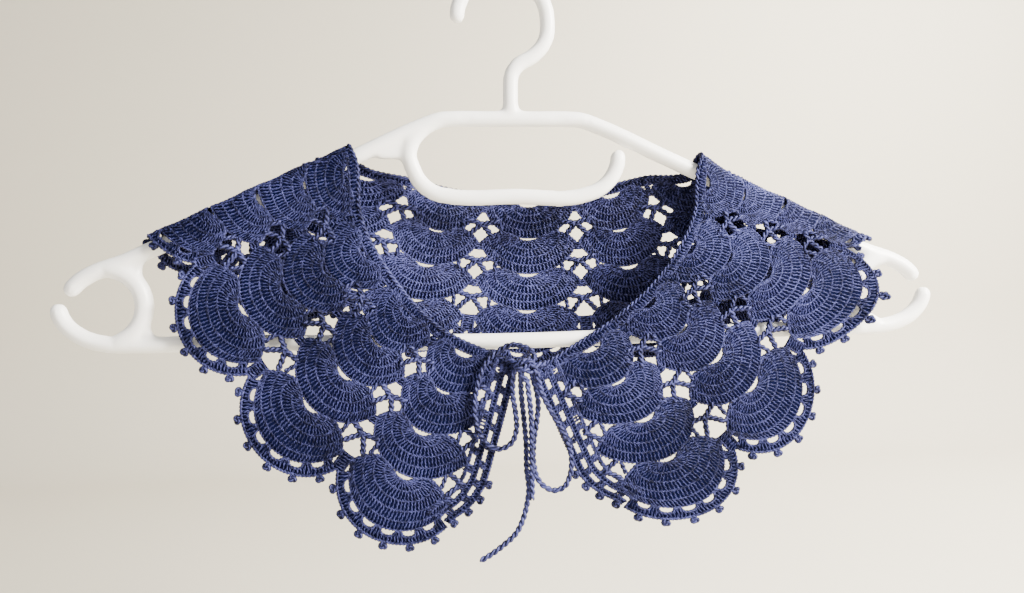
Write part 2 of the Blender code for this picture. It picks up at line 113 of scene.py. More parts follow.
SHOULDER_START = (
    # distance from the stem, z: the flat middle of the shoulder bar and its bend
    (12.0, TOP_BAR_Z), (28.0, TOP_BAR_Z), (BEND_REACH, TOP_BAR_Z - 0.6))
LOWER_START = (
    # distance from the stem, z: the slight bow of the lower bar
    (0.0, LOW_BAR_Z - LOW_BAR_BOW), (80.0, LOW_BAR_Z - LOW_BAR_BOW / 2.0), (150.0, LOW_BAR_Z))

# Lace, as in the part
COLUMNS = 13
NECK_RADIUS = 123.0
COLUMN_ANGLE = math.radians(17.0)
NOTCH_DEPTH = 85.0
CLOTH_DEPTH = 105.0
FRONT_EDGE = 0.22
WALL = 2.0
GAP = 0.3
CRESCENT_DEPTHS = (6.6, 26.0, 48.0, 70.0)
DIAMOND_DEPTHS = (19.5, 41.5, 63.5)
SCALLOP_CENTRE_DEPTH = 70.0
SCALLOP_RADIUS = 32.5
PICOTS = 6
PICOT_SPACING = math.radians(22.2)
SCALLOP_REACH = PICOTS / 2.0 * PICOT_SPACING + math.radians(4.0)
RIBS = {
    # seam: places (x, y, z) of its neck end and of its notch
    0: ((-2.6, -7.0, -179.6), (-32.0, -7.0, -260.4)),
    1: ((-32.2, -7.0, -164.6), (-83.2, -7.0, -231.0)),
    2: ((-53.9, -7.0, -140.4), (-122.5, -7.0, -185.7)),
    3: ((-68.0, -7.0, -111.6), (-145.0, -7.0, -133.6)),
    5: ((-43.4, 9.0, -93.1), (-77.0, 15.0, -155.0)),
    6: ((-7.6, 16.5, -99.6), (-18.6, 26.0, -168.8)),
    7: ((35.4, 16.5, -98.9), (43.8, 26.0, -171.2)),
    8: ((70.0, 9.0, -92.4), (100.6, 15.0, -163.2)),
    10: ((90.2, -7.0, -112.5), (169.6, -7.0, -130.6)),
    11: ((74.0, -7.0, -140.4), (146.4, -7.0, -180.9)),
    12: ((49.6, -7.0, -162.0), (110.7, -7.0, -228.8)),
    13: ((17.0, -7.0, -182.0), (54.0, -7.0, -254.8)),
}
FOLDS = {
    # seam over an arm: side, s at neck and hem, x at neck and hem, lift at the neck
    4: (-1, 4.0, 3.32, -70.5, -167.0, 0.0),
    9: (1, 9.0, 9.82, 93.6, 186.0, 3.5),
}
FOLD_RADIUS = BAR_RADIUS + GAP + WALL / 2.0 + 0.7
FOLD_STEPS = 7
LIFT_DEPTH = 26.0

# Tie, as in the part
TIE_ROUTES = (
    # name of a cord, how it ends, its route
    ("tie_loop_left", "object", (
        (10.8, -12.4, -179.2), (9.4, -12.4, -176.6), (5.0, -12.2, -174.2), (0.5, -11.6, -173.4),
        (-5.0, -10.6, -175.6), (-11.6, -10.2, -181.2), (-16.0, -10.0, -191.8),
        (-17.7, -10.0, -203.4), (-16.0, -10.0, -213.7), (-11.4, -10.0, -220.4),
        (-6.3, -10.0, -222.2), (-0.6, -10.2, -219.4), (1.7, -10.3, -213.4), (1.4, -10.3, -205.0),
        (0.2, -10.6, -196.5), (0.4, -11.4, -189.2))),
    ("tie_loop_right", "object", (
        (9.6, -11.2, -189.0), (11.4, -10.2, -194.5), (12.3, -10.0, -200.5), (11.6, -10.0, -209.1),
        (9.9, -10.0, -219.4), (9.7, -10.0, -230.1), (11.2, -10.0, -236.3), (14.6, -10.0, -240.7),
        (19.0, -10.0, -242.7), (24.1, -10.0, -241.1), (26.8, -10.0, -236.0), (27.7, -10.2, -228.5),
        (26.4, -10.6, -221.4), (23.2, -11.4, -214.2), (19.1, -12.4, -207.0), (15.6, -13.2, -200.4),
        (13.0, -13.6, -194.0), (11.6, -13.2, -187.4))),
    ("tie_end_long", "bare", (
        (4.0, -11.6, -190.0), (4.3, -10.6, -196.0), (5.4, -10.2, -208.9), (6.2, -10.2, -220.6),
        (6.2, -10.4, -232.3), (7.0, -10.6, -241.7), (5.9, -10.6, -248.7), (4.3, -10.4, -254.7),
        (0.9, -10.2, -261.6), (-4.9, -10.0, -266.9), (-12.0, -10.0, -271.7),
        (-16.7, -10.0, -274.2))),
    ("tie_end_short", "bare", (
        (6.8, -13.6, -189.9), (7.4, -13.8, -196.0), (8.4, -13.6, -208.0), (8.4, -13.5, -220.0),
        (8.3, -13.5, -232.0), (8.2, -13.6, -240.0), (8.0, -13.7, -246.0))),
)
KNOT_CENTRE = (5.2, -12.4, -183.5)
KNOT_WRAPS = (
    # turns of cord round the knot: height, half width, half depth, lean in degrees
    (2.0, 4.0, 2.3, 24.0),
    (-1.4, 4.3, 2.6, -18.0),
)
KNOT_STRANDS = (
    # the cord inside the knot: from each loop or neck corner to the next loop or end
    ((10.8, -12.4, -179.2), (9.2, -14.0, -181.0), (6.4, -14.8, -183.4), (4.2, -14.0, -186.6),
     (4.0, -11.6, -190.6)),
    ((0.4, -11.4, -189.2), (0.8, -12.2, -186.2), (3.4, -12.4, -183.6), (7.2, -12.2, -183.8),
     (9.4, -11.6, -186.2), (9.6, -11.2, -189.0)),
    ((11.6, -13.2, -187.4), (10.4, -14.6, -184.4), (7.4, -15.0, -181.0), (3.6, -14.4, -181.4),
     (2.6, -13.6, -184.4), (4.6, -14.2, -187.8), (6.8, -13.6, -190.6)),
    ((-2.2, -8.4, -180.4), (0.4, -10.2, -181.2), (4.0, -11.6, -182.4)),
    ((16.2, -8.4, -182.6), (13.2, -10.2, -183.2), (9.0, -11.8, -183.6)),
)
BARE_END = (0.9, 0.75, 0.5)

# Fans: the boundaries of their rows are half ellipses about the crescent gap
FAN_ROWS = (
    # half width in mm in the third fan, depth, and the angle where a row ends
    (4.3, 1.7, 88.0), (9.9, 6.4, 116.0), (15.4, 11.2, 110.0), (20.8, 16.0, 93.0),
    (25.4, 20.9, 81.0))
LAST_ROW = (26.8, 25.4, 77.0)
FAN_HALF = 25.4
FAN_PITCH = 22.0
FIRST_FAN_PITCH = 20.0
DOME = 0.7
DOME_BASE = 0.4
WAVE = 0.25
FRONT_SHIFT = 0.06
FRONT_FADE = (58.0, 72.0)
ROW_POINTS = 48
CRESCENT_POINTS = 16
LENGTH_POINTS = 60  # along a row, where its length is measured
SHADE_SHEET_ACROSS = 19

# Posts: turns of their twist, rings, thickness as a share of a fan's post
FAN_POST = (1.25, 6, 1.0)
EDGING_POST = (0.7, 5, 1.15)
JOIN_POST = (0.9, 5, 1.1)
BORDER_POST = (0.9, 5, 1.15)
GROUP_POST = (0.9, 5, 1.5)
NECK_POST = (0.7, 5, 1.1)
STITCH_PITCH = 1.7
STRAND_RADIUS = 0.42
TWIST_RADIUS = 0.33
PLY_TURN = 1.5
POST_SPAN = (-0.13, 1.13)
POST_STRAY = 0.16
POST_PHASE = (-1.5, 1.5)
POST_PHASE_MIDDLE = 0.8
POST_SWELL = 0.11
POST_SWELL_LIMIT = 0.25
POST_TAPER = 0.25
POST_LEAN = 0.45

# Edges of rows: radius of a strand, and how far it winds from the edge's middle
ROW_EDGE = (0.38, 0.32)
PLAIN_EDGE = (0.40, 0.42)
FAN_END_EDGE = (0.45, 0.40)
FAN_END_PITCH = 1.2 * STITCH_PITCH
ARCH_EDGE = (0.50, 0.42)
JOIN_EDGE = (0.55, 0.45)
RIM_EDGE = (0.62, 0.50)
RIM_LIFT = 0.15
EDGE_PHASE = (0.0, 3.0)

# Two-ply chains and cords: pitch, how far a ply winds from the middle, its radius, rings
NECK_CHAIN = (2.6, 0.6, 0.68, 3)
PICOT_CHAIN = (2.4, 0.6, 0.75, 5)
TIE_CORD = (3.1, 0.70, 0.80, 5)
CHAIN_PITCH = 2.6
CHAIN_WIND = 0.23
CHAIN_PLY = 0.27
CHAIN_POINTS = 24

# Edging and borders
LOOP_INNER = (26.0, 28.7)
LOOP_OUTER = 31.6
EDGING_TOP = 31.3
EDGING_RADIUS = 30.0
EDGING_POINTS = 120
SLIT_START = 0.5
ARCH_POWER = 0.28
PICOT_RADIUS = 1.15
PICOT_TILT = 0.25
PICOT_REACHES = (1.0, 3.5)
FRONT_EDGE_LINE = (
    # depth, share of a column from the first seam out to the open front edge
    (-2.0, 0.22), (50.0, 0.22), (58.0, 0.215), (65.0, 0.175), (71.0, 0.12), (77.0, 0.045),
    (81.0, 0.01))
FRONT_PICOTS = (56.5, 64.5, 72.0, 79.8)
FRONT_PICOT_REACH = 1.2
BORDER_BANDS = (
    # insets from the open front edge: outer and inner line of each band of posts
    (0.7, 3.2), (6.3, 8.5), (11.7, 12.6))
BORDER_SPAN = (1.0, 81.0)
BORDER_POSTS = (1.6, 79.8)
BORDER_SKEW = 0.3
# Groups of posts between the bands: where they start and end, and from one to the next
BORDER_GROUPS = (4.2, 77.0, 8.8)
BORDER_GROUP = (0.0, 1.2, 2.4)
POST_SKEW = 0.4

# Lattice
LATTICE = (
    # a diamond's chains: start (x, y) and end (x, y) about its middle, bow, width
    (0.0, -1.2, -7.6, -3.2, 0.4, 3.3), (0.0, -1.2, 7.6, -3.2, -0.4, 3.3),
    (0.0, -1.2, -5.8, 6.6, -0.4, 3.3), (0.0, -1.2, 5.8, 6.6, 0.4, 3.3),
    (-8.9, -1.8, -8.5, 4.4, 0.0, 2.6), (8.9, -1.8, 9.3, 4.4, 0.0, 2.6))
JOINS = (
    # depths between which the fans of two columns are joined, half width of the join
    (2.6, 11.6, 1.6), (29.2, 33.8, 1.9), (51.4, 55.8, 1.9), (73.4, 83.2, 2.8))
JOIN_PITCH = 1.4

# Neck edging: depths of its chain, its posts, its lower edge and the line it is measured on
NECK_CHAIN_DEPTH = 0.9
NECK_POSTS = (1.6, 4.7)
NECK_EDGE_DEPTH = 5.0
NECK_WIDTH_DEPTH = 3.0
NECK_POINTS = 900

# Sheet of painted shade: a thin near-black sheet under the stitches that shows as the shade
# between them. It ends a little inside a fan's rows (in half width, depth and end angle), inside
# a band of posts (in shares of it) and inside the open fronts.
SHADE_SHEET_HALF = 0.15
SHADE_SHEET_INSET = (0.3, 0.2, 0.02)
SHADE_SHEET_SHARES = (0.06, 0.5, 0.94)
SHADE_SHEET_BORDER = (2.0, 81.0)
NECK_SHADE_SHEET_DEPTHS = (1.0, 2.9, 4.8)
NECK_SHADE_SHEET_POINTS = 700
NECK_SHADE_SHEET_INSET = 0.02

# Specular level of the thread, and of the sheet of painted shade between stitches
YARN_SHINE = 0.14
SHADE_SHEET_SHINE = 0.02

# Stage and the photograph's camera
FLOOR_Z = -430.0
WALL_Y = 1300.0
SWEEP_BEND = 250.0
SWEEP_HALF_WIDTH = 2600.0
FLOOR_YS = (-1500.0, -400.0)
WALL_ZS = (600.0, 1800.0)
LIGHTS = (
    # name, place and aim in metres, size in metres, colour, the property with its power
    ("key_light", (0.62, -0.40, 0.22), (0.08, 0.0, -0.2), 0.35, "#fffaf2", "key"),
    ("wall_light", (1.0, 0.45, 0.55), (0.9, 1.3, -0.5), 0.9, "#fffaf0", "wall"),
    ("fill_light", (-0.9, -0.9, 0.1), (0.0, 0.0, -0.16), 1.0, "#f2f5ff", "fill"),
)
CAMERA_PLACE = (-51.92, -446.05, -150.88)
CAMERA_YAW = 0.1205
CAMERA_ROLL = -0.0199
FOCAL_PIXELS = 936.3
PHOTO_WIDTH = 1024
SENSOR = 36.0


def hex_linear(code):
    """Linear RGBA of an sRGB hex colour: ((c + 0.055) / 1.055) to the power 2.4 above the toe."""
    parts = [int(code[i:i + 2], 16) / 255.0 for i in (1, 3, 5)]
    linear = [p / 12.92 if p <= 0.04045 else ((p + 0.055) / 1.055) ** 2.4 for p in parts]
    return (*linear, 1.0)


def feed(tree, node, values=(), links=()):
    """Set a node's socket values, and link its other sockets, each to (node, output)."""
    for key, value in dict(values).items():
        node.inputs[key].default_value = value
    for key, (source, output) in dict(links).items():
        tree.links.new(source.outputs[output], node.inputs[key])
    return node


def add_node(tree, kind, values=(), links=(), **settings):
    """A shader node of a kind, with its attributes, socket values and links."""
    node = tree.nodes.new("ShaderNode" + kind)
    for key, value in settings.items():
        setattr(node, key, value)
    return feed(tree, node, values, links)


def set_ramp(node, stops):
    """Give a colour ramp its two stops, each (position, sRGB hex colour)."""
    for element, (place, colour) in zip(node.color_ramp.elements, stops):
        element.position = place
        element.color = hex_linear(colour)


# Mesh building


def add_object(name, data):
    """A new object of the scene, at the origin."""
    item = bpy.data.objects.new(name, data)
    bpy.context.scene.collection.objects.link(item)
    return item


def mesh_piece(name, part, finish, uvs=None):
    """An object from a part: points in mm, face corners and face sizes, as flat arrays."""
    points, corners, sizes = part
    mesh = bpy.data.meshes.new(name)
    mesh.vertices.add(len(points))
    mesh.vertices.foreach_set("co", (points * MM).astype(np.float32).ravel())
    mesh.loops.add(len(corners))
    mesh.loops.foreach_set("vertex_index", corners.astype(np.int32))
    mesh.polygons.add(len(sizes))
    starts = np.concatenate([[0], np.cumsum(sizes)[:-1]]).astype(np.int32)
    mesh.polygons.foreach_set("loop_start", starts)
    mesh.update(calc_edges=True)
    if uvs is not None:
        layer = mesh.uv_layers.new(name="strand")
        layer.data.foreach_set("uv", uvs.astype(np.float32).ravel())
    mesh.shade_smooth()
    mesh.materials.append(finish)
    return add_object(name, mesh)


def merged(parts):
    """Several parts as one, each part's corners counted on from the points before it."""
    points, corners, sizes = zip(*parts)
    starts = np.cumsum([0] + [len(item) for item in points[:-1]])
    counted = [item + start for item, start in zip(corners, starts)]
    return np.concatenate(points), np.concatenate(counted), np.concatenate(sizes)


def stand_for(piece, slot, *nodes):
    """Let a piece ride on the one body, in place of its CAD nodes. The slot is not used."""
    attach(piece, "root")
    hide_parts(*nodes)


def unit(vectors):
    """Vectors scaled to length one."""
    return vectors / (np.linalg.norm(vectors, axis=-1, keepdims=True) + 1e-12)


def pairs(x, y):
    """Points (x, y) from two arrays, or from an array and a number."""
    return np.stack(np.broadcast_arrays(x, y), axis=-1)


def middles(start, end, step):
    """Middles of the equal steps, about as long as the given one, from start to end."""
    count = int(round((end - start) / step))
    return start + (np.arange(count) + 0.5) / count * (end - start)


def run_length(path):
    """Distance along a path to each of its points."""
    run = np.cumsum(np.linalg.norm(np.diff(path, axis=0), axis=1))
    return np.concatenate([[0.0], run])


def read_along(at, run, rows):
    """Rows of numbers known at the distances run, read at other distances."""
    return np.stack([np.interp(at, run, column) for column in rows.T], axis=1)


def ring_places(length, pitch, rings):
    """Even distances along a length, with the given number of rings to a pitch."""
    return np.linspace(0.0, length, max(4, int(round(length / pitch * rings))) + 1)


class Strands:
    """Round strands gathered into one mesh."""

    def __init__(self, swell=1.0):
        self.swell = swell
        self.parts = []
        self.uvs = []

    def add(self, paths, normals, radius, sides=3):
        """Sweep strands along paths (n, m, 3). A ring is centre + r (cos a * up + sin a * side),
        where side is tangent x normal and up is side x tangent. Its UV is the turns of the
        ply along the strand, and the share of the way round."""
        n, m, _ = paths.shape
        tangent = unit(np.gradient(paths, axis=1))
        side = unit(np.cross(tangent, normals))
        up = np.cross(side, tangent)[:, :, None]
        angle = (2.0 * np.pi * np.arange(sides) / sides)[:, None]
        size = np.broadcast_to(np.asarray(radius) * self.swell, (n, m))[:, :, None, None]
        ring = np.cos(angle) * up + np.sin(angle) * side[:, :, None]
        points = paths[:, :, None] + size * ring
        rings, corners = np.broadcast_arrays(
            np.arange(m - 1)[:, None, None] + np.array([0, 0, 1, 1]),
            np.arange(sides)[:, None] + np.array([0, 1, 1, 0]))
        around = np.arange(sides)
        faces = ((rings * sides + corners % sides).ravel(), around[::-1], around + (m - 1) * sides)
        starts = (np.arange(n) * m * sides)[:, None]
        counts = [4, sides], [n * (m - 1) * sides, 2 * n]
        self.parts.append((points.reshape(-1, 3), np.concatenate(
            [(starts + face).ravel() for face in faces]), np.repeat(*counts)))
        run = np.cumsum(np.linalg.norm(np.diff(paths, axis=1), axis=2), axis=1)
        along = np.concatenate([np.zeros((n, 1)), run], axis=1) / PLY_TURN
        for u, v in ((along[:, rings], corners), (along[:, :1], around[::-1]),
                     (along[:, -1:], around)):
            self.uvs.append(pairs(u, v / sides).reshape(-1, 2))

    def piece(self, name, finish):
        """The gathered strands as one mesh object."""
        return mesh_piece(name, merged(self.parts), finish, np.concatenate(self.uvs))


def grid_shell(front, rear):
    """A closed thin shell between two matching grids (rows, columns, 3), as a part."""
    rows, columns, _ = front.shape
    count = rows * columns
    index = np.arange(count).reshape(rows, columns)
    face = np.stack([index[:-1, :-1], index[:-1, 1:], index[1:, 1:], index[1:, :-1]], axis=-1)
    face = face.reshape(-1, 4)
    rim = np.concatenate([index[0], index[1:, -1], index[-1, -2::-1], index[-2:0:-1, 0]])
    after = np.roll(rim, -1)
    wall = np.stack([after, rim, rim + count, after + count], axis=-1)
    quads = np.concatenate([face, face[:, ::-1] + count, wall])
    points = np.concatenate([front.reshape(-1, 3), rear.reshape(-1, 3)])
    return points, quads.ravel(), np.full(len(quads), 4)


# The draped cloth


def slopes(at, knots):
    """Slope at each knot: the mean of its two spans, the shorter one counting more."""
    width = np.diff(at, axis=1)[:, :, None]
    rise = np.diff(knots, axis=1) / width
    inner = rise[:, :-1] * width[:, 1:] + rise[:, 1:] * width[:, :-1]
    inner = inner / (width[:, :-1] + width[:, 1:])
    return np.concatenate([rise[:, :1], inner, rise[:, -1:]], axis=1)


def hermite(t, start, start_slope, end, end_slope):
    """Cubic between two knots, with t from 0 to 1 and slopes for a span of 1."""
    return (start * (2 * t**3 - 3 * t**2 + 1) + start_slope * (t**3 - 2 * t**2 + t)
            + end * (3 * t**2 - 2 * t**3) + end_slope * (t**3 - t**2))


def smooth_route(points, step=ROUTE_STEP):
    """Points about one step apart on a smooth curve through the given ones."""
    knots = np.array(points)
    at = run_length(knots)
    slope = slopes(at[None, :], knots[None, :, :])[0]
    where = np.linspace(0.0, at[-1], int(round(at[-1] / step)) + 1)
    span = np.clip(np.searchsorted(at, where, side="right") - 1, 0, len(at) - 2)
    width = (at[span + 1] - at[span])[:, None]
    t = (where - at[span])[:, None] / width
    return hermite(t, knots[span], slope[span] * width, knots[span + 1], slope[span + 1] * width)


def arm_height(reach):
    """Height of an arm's centre line at a distance from the stem."""
    return TOP_BAR_Z - ARM_SLOPE * (np.maximum(reach, BEND_REACH) - BEND_REACH)


def column_width(d):
    """Width of one column at a distance from the neck edge."""
    return (NECK_RADIUS + d) * COLUMN_ANGLE


def fold_knots(fold, d):
    """Seam counts and places of the cloth on its half circle over an arm."""
    side, neck_s, hem_s, neck_x, hem_x, lift = fold
    share = d / CLOTH_DEPTH
    x = neck_x + (hem_x - neck_x) * share
    z = arm_height(np.abs(x - STEM_X)) + lift * np.clip(1.0 - d / LIFT_DEPTH, 0.0, 1.0) ** 2
    tilt = math.atan(ARM_SLOPE)
    outward = np.array([side * math.sin(tilt), 0.0, math.cos(tilt)])
    centre = np.stack([x, np.zeros_like(x), z], axis=-1)
    counts = []
    places = []
    for turn in np.linspace(0.0, math.pi, FOLD_STEPS):
        arc = (turn - math.pi / 2.0) * FOLD_RADIUS
        counts.append(neck_s + (hem_s - neck_s) * share + arc / column_width(d))
        back = np.array([0.0, side * FOLD_RADIUS * math.cos(turn), 0.0])
        places.append(centre + FOLD_RADIUS * math.sin(turn) * outward + back)
    return counts, places


def drape(s, d):
    """Places of the cloth's middle surface: cubic across the seams' straight ribs."""
    counts = []
    places = []
    share = (d / NOTCH_DEPTH)[:, None]
    for seam in range(COLUMNS + 1):
        if seam in FOLDS:
            fold_counts, fold_places = fold_knots(FOLDS[seam], d)
            counts += fold_counts
            places += fold_places
        else:
            neck, notch = np.array(RIBS[seam])
            counts.append(np.full_like(d, seam))
            places.append(neck * (1.0 - share) + notch * share)
    at = np.stack(counts, axis=1)
    knots = np.stack(places, axis=1)
    slope = slopes(at, knots)
    span = np.clip((at[:, 1:-1] <= s[:, None]).sum(axis=1), 0, at.shape[1] - 2)
    row = np.arange(len(s))
    width = (at[row, span + 1] - at[row, span])[:, None]
    along = (s - at[row, span])[:, None] / width
    t = np.clip(along, 0.0, 1.0)
    inside = hermite(t, knots[row, span], slope[row, span] * width,
                     knots[row, span + 1], slope[row, span + 1] * width)
    end_slope = np.where(along < 0.0, slope[:, 0], slope[:, -1])
    return inside + end_slope * width * (along - t)


class Cloth:
    """The draped surface on a fine grid of the flat cut, read between its points."""

    S_RANGE = (-0.6, 13.6)
    D_RANGE = (-8.0, 116.0)
    S_STEP = 0.02
    D_STEP = 1.0

    def __init__(self):
        s = np.arange(self.S_RANGE[0], self.S_RANGE[1] + self.S_STEP, self.S_STEP)
        d = np.arange(self.D_RANGE[0], self.D_RANGE[1] + self.D_STEP, self.D_STEP)
        ss, dd = np.meshgrid(s, d, indexing="ij")
        place = drape(ss.ravel(), dd.ravel()).reshape(len(s), len(d), 3)
        normal = unit(np.cross(np.gradient(place, axis=0), np.gradient(place, axis=1)))
        self.table = np.concatenate([place, normal], axis=2)

    def at(self, s, d):
        """Place and outward unit normal at arrays of (s, d), by bilinear reading."""
        u = (s - self.S_RANGE[0]) / self.S_STEP
        v = (d - self.D_RANGE[0]) / self.D_STEP
        i = np.clip(u.astype(int), 0, self.table.shape[0] - 2)
        j = np.clip(v.astype(int), 0, self.table.shape[1] - 2)
        fu = np.clip(u - i, 0.0, 1.0)[..., None]
        fv = np.clip(v - j, 0.0, 1.0)[..., None]
        near = self.table[i, j] * (1 - fu) + self.table[i + 1, j] * fu
        far = self.table[i, j + 1] * (1 - fu) + self.table[i + 1, j + 1] * fu
        found = near * (1 - fv) + far * fv
        return found[..., :3], unit(found[..., 3:])


CLOTH = Cloth()


def relief(x, y, on_seam=False):
    """Height of the worked cloth off its middle surface: a low dome along each column, with
    a shallow wave from fan to fan. On a seam, x is counted from the seam."""
    across = np.clip(np.abs(x) / (column_width(y) / 2.0), 0.0, 1.0)
    if on_seam:
        across = 1.0 - across
    dome = DOME * (np.cos(across * np.pi / 2.0) - DOME_BASE)
    return dome + WAVE * np.sin(y * 2.0 * np.pi / FAN_PITCH)


class Strip:
    """A strip of the cut that stitches are laid out on, with its middle at a count of columns.
    The fans of the two columns at the open front are shifted away from the front edge."""

    def __init__(self, middle, on_seam=False, shift=0.0):
        self.middle = middle
        self.on_seam = on_seam
        self.shift = shift

    @classmethod
    def column(cls, column):
        """The strip along a column."""
        side = {0: 1.0, COLUMNS - 1: -1.0}.get(column, 0.0)
        return cls(column + 0.5, shift=side * FRONT_SHIFT)

    @classmethod
    def seam(cls, seam):
        """The strip along a seam."""
        return cls(seam, on_seam=True)

    def at(self, x, y, h=0.0):
        """Places and normals of points at a height h off the worked cloth."""
        height = h + relief(x, y, self.on_seam)
        fade = np.clip((FRONT_FADE[1] - y) / (FRONT_FADE[1] - FRONT_FADE[0]), 0.0, 1.0)
        share = np.clip(2.0 * x / column_width(y), -1.0, 1.0)
        x = x + self.shift * fade * column_width(y) * (1.0 - share**2)
        place, normal = CLOTH.at(self.middle + x / column_width(y), y)
        return place + normal * height[..., None], normal


# Stitches


def thread_swell():
    """The chosen thickness of a strand as a share of the usual one."""
    return bpy.context.scene.lace_collar_yarn.thickness / (2.0 * STRAND_RADIUS * MM)


def posts(strands, strip, base, top, rng, kind, lean=0.0):
    """Post stitches, each two strands twisted round the line from base to top: an offset of
    the twist radius turns on the way, across the post and off the cloth."""
    turns, rings, width = kind
    base = base + rng.uniform(-POST_STRAY, POST_STRAY, base.shape)
    top = top + rng.uniform(-POST_STRAY, POST_STRAY, top.shape)
    phase = rng.uniform(*POST_PHASE, len(base))[:, None] + POST_PHASE_MIDDLE
    swell = POST_SWELL * rng.standard_normal(len(base))[:, None]
    thick = width * (1.0 + np.clip(swell, -POST_SWELL_LIMIT, POST_SWELL_LIMIT))
    t = np.linspace(*POST_SPAN, rings)[None, :]
    line = top - base
    across = unit(line[:, ::-1] * (1.0, -1.0))
    taper = 1.0 - POST_TAPER * np.abs(2.0 * t - 1.0) ** 3
    for strand in (0.0, math.pi):
        turn = phase + strand + turns * 2.0 * np.pi * t
        aside = TWIST_RADIUS * thick * np.cos(turn) + lean * (t - 0.5)
        path = base[:, None] + line[:, None] * t[..., None] + across[:, None] * aside[..., None]
        off = TWIST_RADIUS * thick * np.sin(turn)
        place, normal = strip.at(path[..., 0], path[..., 1], off)
        strands.add(place, normal, STRAND_RADIUS * thick * taper)


def twisted(strands, strip, path, edge, pitch=STITCH_PITCH, lift=0.0, phase=0.0):
    """A row edge: two strands wound about a path of the cut, one half turn to a pitch."""
    radius, spread = edge
    run = run_length(path)
    at = ring_places(run[-1], pitch, 2)
    path = read_along(at, run, path)
    across = unit(np.gradient(path, axis=0))[:, ::-1] * (-1.0, 1.0)
    for strand in (0.0, math.pi):
        turn = phase + strand + np.pi * at / pitch
        x, y = (path + spread * np.cos(turn)[:, None] * across).T
        place, normal = strip.at(x, y, spread * np.sin(turn) + lift)
        strands.add(place[None], normal[None], radius)


def rope(strands, path, normals, cord, sides=4, end=(1.0, 1.0, 1.0)):
    """A chain or cord along a path of places: two plies, each offset from it and turning half
    round in every pitch. Its last three rings are scaled to the shape of its end."""
    pitch, spread, radius, rings = cord
    run = run_length(path)
    at = ring_places(run[-1], pitch, rings)
    centre = read_along(at, run, path)
    tangent = unit(np.gradient(centre, axis=0))
    side = unit(np.cross(tangent, read_along(at, run, normals)))
    up = np.cross(side, tangent)
    turn = (np.pi * at / pitch + np.array([[0.0], [np.pi]]))[..., None]
    paths = centre + spread * (np.cos(turn) * side + np.sin(turn) * up)
    size = np.full(len(at), radius)
    size[-3:] *= end
    strands.add(paths, np.broadcast_to(up, paths.shape), size, sides)


def chain(strands, strip, path, width):
    """A crochet chain of a given width along a path of the cut."""
    run = run_length(path)
    path = read_along(np.linspace(0.0, run[-1], CHAIN_POINTS), run, path)
    place, normal = strip.at(*path.T)
    rope(strands, place, normal, (CHAIN_PITCH, CHAIN_WIND * width, CHAIN_PLY * width, 3))


def fan_rows(number):
    """Depth of a fan, and its row boundaries (half width, depth, end angle). Its widths, but for
    the crescent's own, are scaled to the column there; the last fan fills the scallop."""
    depth = CRESCENT_DEPTHS[number]
    last = number == len(CRESCENT_DEPTHS) - 1
    rows = np.array(FAN_ROWS + ((LAST_ROW,) if last else ()))
    if not last:
        rows[1:, 0] *= column_width(depth) / 2.0 / FAN_HALF
    if number == 0:
        rows[:, 1] *= FIRST_FAN_PITCH / FAN_PITCH
    rows[:, 2] = np.radians(rows[:, 2])
    return depth, rows


def ellipse(depth, row, share):
    """Points of a row boundary, (half width * sin a, depth + row depth * cos a): share runs
    from -1 at its left end to 1 at its right end, and a is share times the end angle."""
    wide, down, end = row
    return pairs(wide * np.sin(share * end), depth + down * np.cos(share * end))


def fan(strands, strip, number, rng):
    """One shell of a column: rows of posts between half ellipses, each row topped by a twisted
    edge, and edges along its crescent gap and up its two ends."""
    depth, rows = fan_rows(number)
    for row, (low, high) in enumerate(zip(rows[:-1], rows[1:])):
        length = run_length(ellipse(depth, high, np.linspace(-1.0, 1.0, LENGTH_POINTS)))[-1]
        share = middles(-1.0, 1.0, 2.0 * STITCH_PITCH / length)
        posts(strands, strip, ellipse(depth, low, share), ellipse(depth, high, share), rng,
              FAN_POST, lean=POST_LEAN if row % 2 else -POST_LEAN)
        edge = ellipse(depth, high, np.linspace(-1.0, 1.0, ROW_POINTS))
        twisted(strands, strip, edge, ROW_EDGE, phase=rng.uniform(*EDGE_PHASE))
    crescent = ellipse(depth, rows[0], np.linspace(-1.0, 1.0, CRESCENT_POINTS))
    twisted(strands, strip, crescent, PLAIN_EDGE)
    for end in (-1.0, 1.0):
        twisted(strands, strip, ellipse(depth, rows.T, end), FAN_END_EDGE, FAN_END_PITCH)


def scallop_line(radius, angle):
    """Points of the scallop's edging, from their true flat radius and angle."""
    across = radius * np.sin(angle)
    down = NECK_RADIUS + SCALLOP_CENTRE_DEPTH + radius * np.cos(angle)
    reach = np.hypot(across, down)
    return pairs(np.arctan2(across, down) * reach, reach - NECK_RADIUS)


def loop_inner(angle):
    """Inner radius of the edging: it touches the last row between the loops and arches over
    the slit in the middle of each."""
    swing = np.abs(np.sin(np.pi * angle / PICOT_SPACING))
    arch = np.clip((swing - SLIT_START) / (1.0 - SLIT_START), 0.0, 1.0) ** ARCH_POWER
    return LOOP_INNER[0] + (LOOP_INNER[1] - LOOP_INNER[0]) * arch


def picot(strands, strip, centre, beyond):
    """A picot: a two-ply chain round a small ring, tilted a little, whose centre stands out from
    the edge in line with a point beyond it."""
    outward = unit(beyond - centre)
    aside = outward[::-1] * (-1.0, 1.0)
    turn = np.linspace(-np.pi, np.pi, 13)[:, None]
    path = centre + PICOT_RADIUS * (np.cos(turn) * outward + np.sin(turn) * aside)
    place, normal = strip.at(*path.T, PICOT_TILT * np.sin(turn[:, 0]))
    rope(strands, place, normal, PICOT_CHAIN)


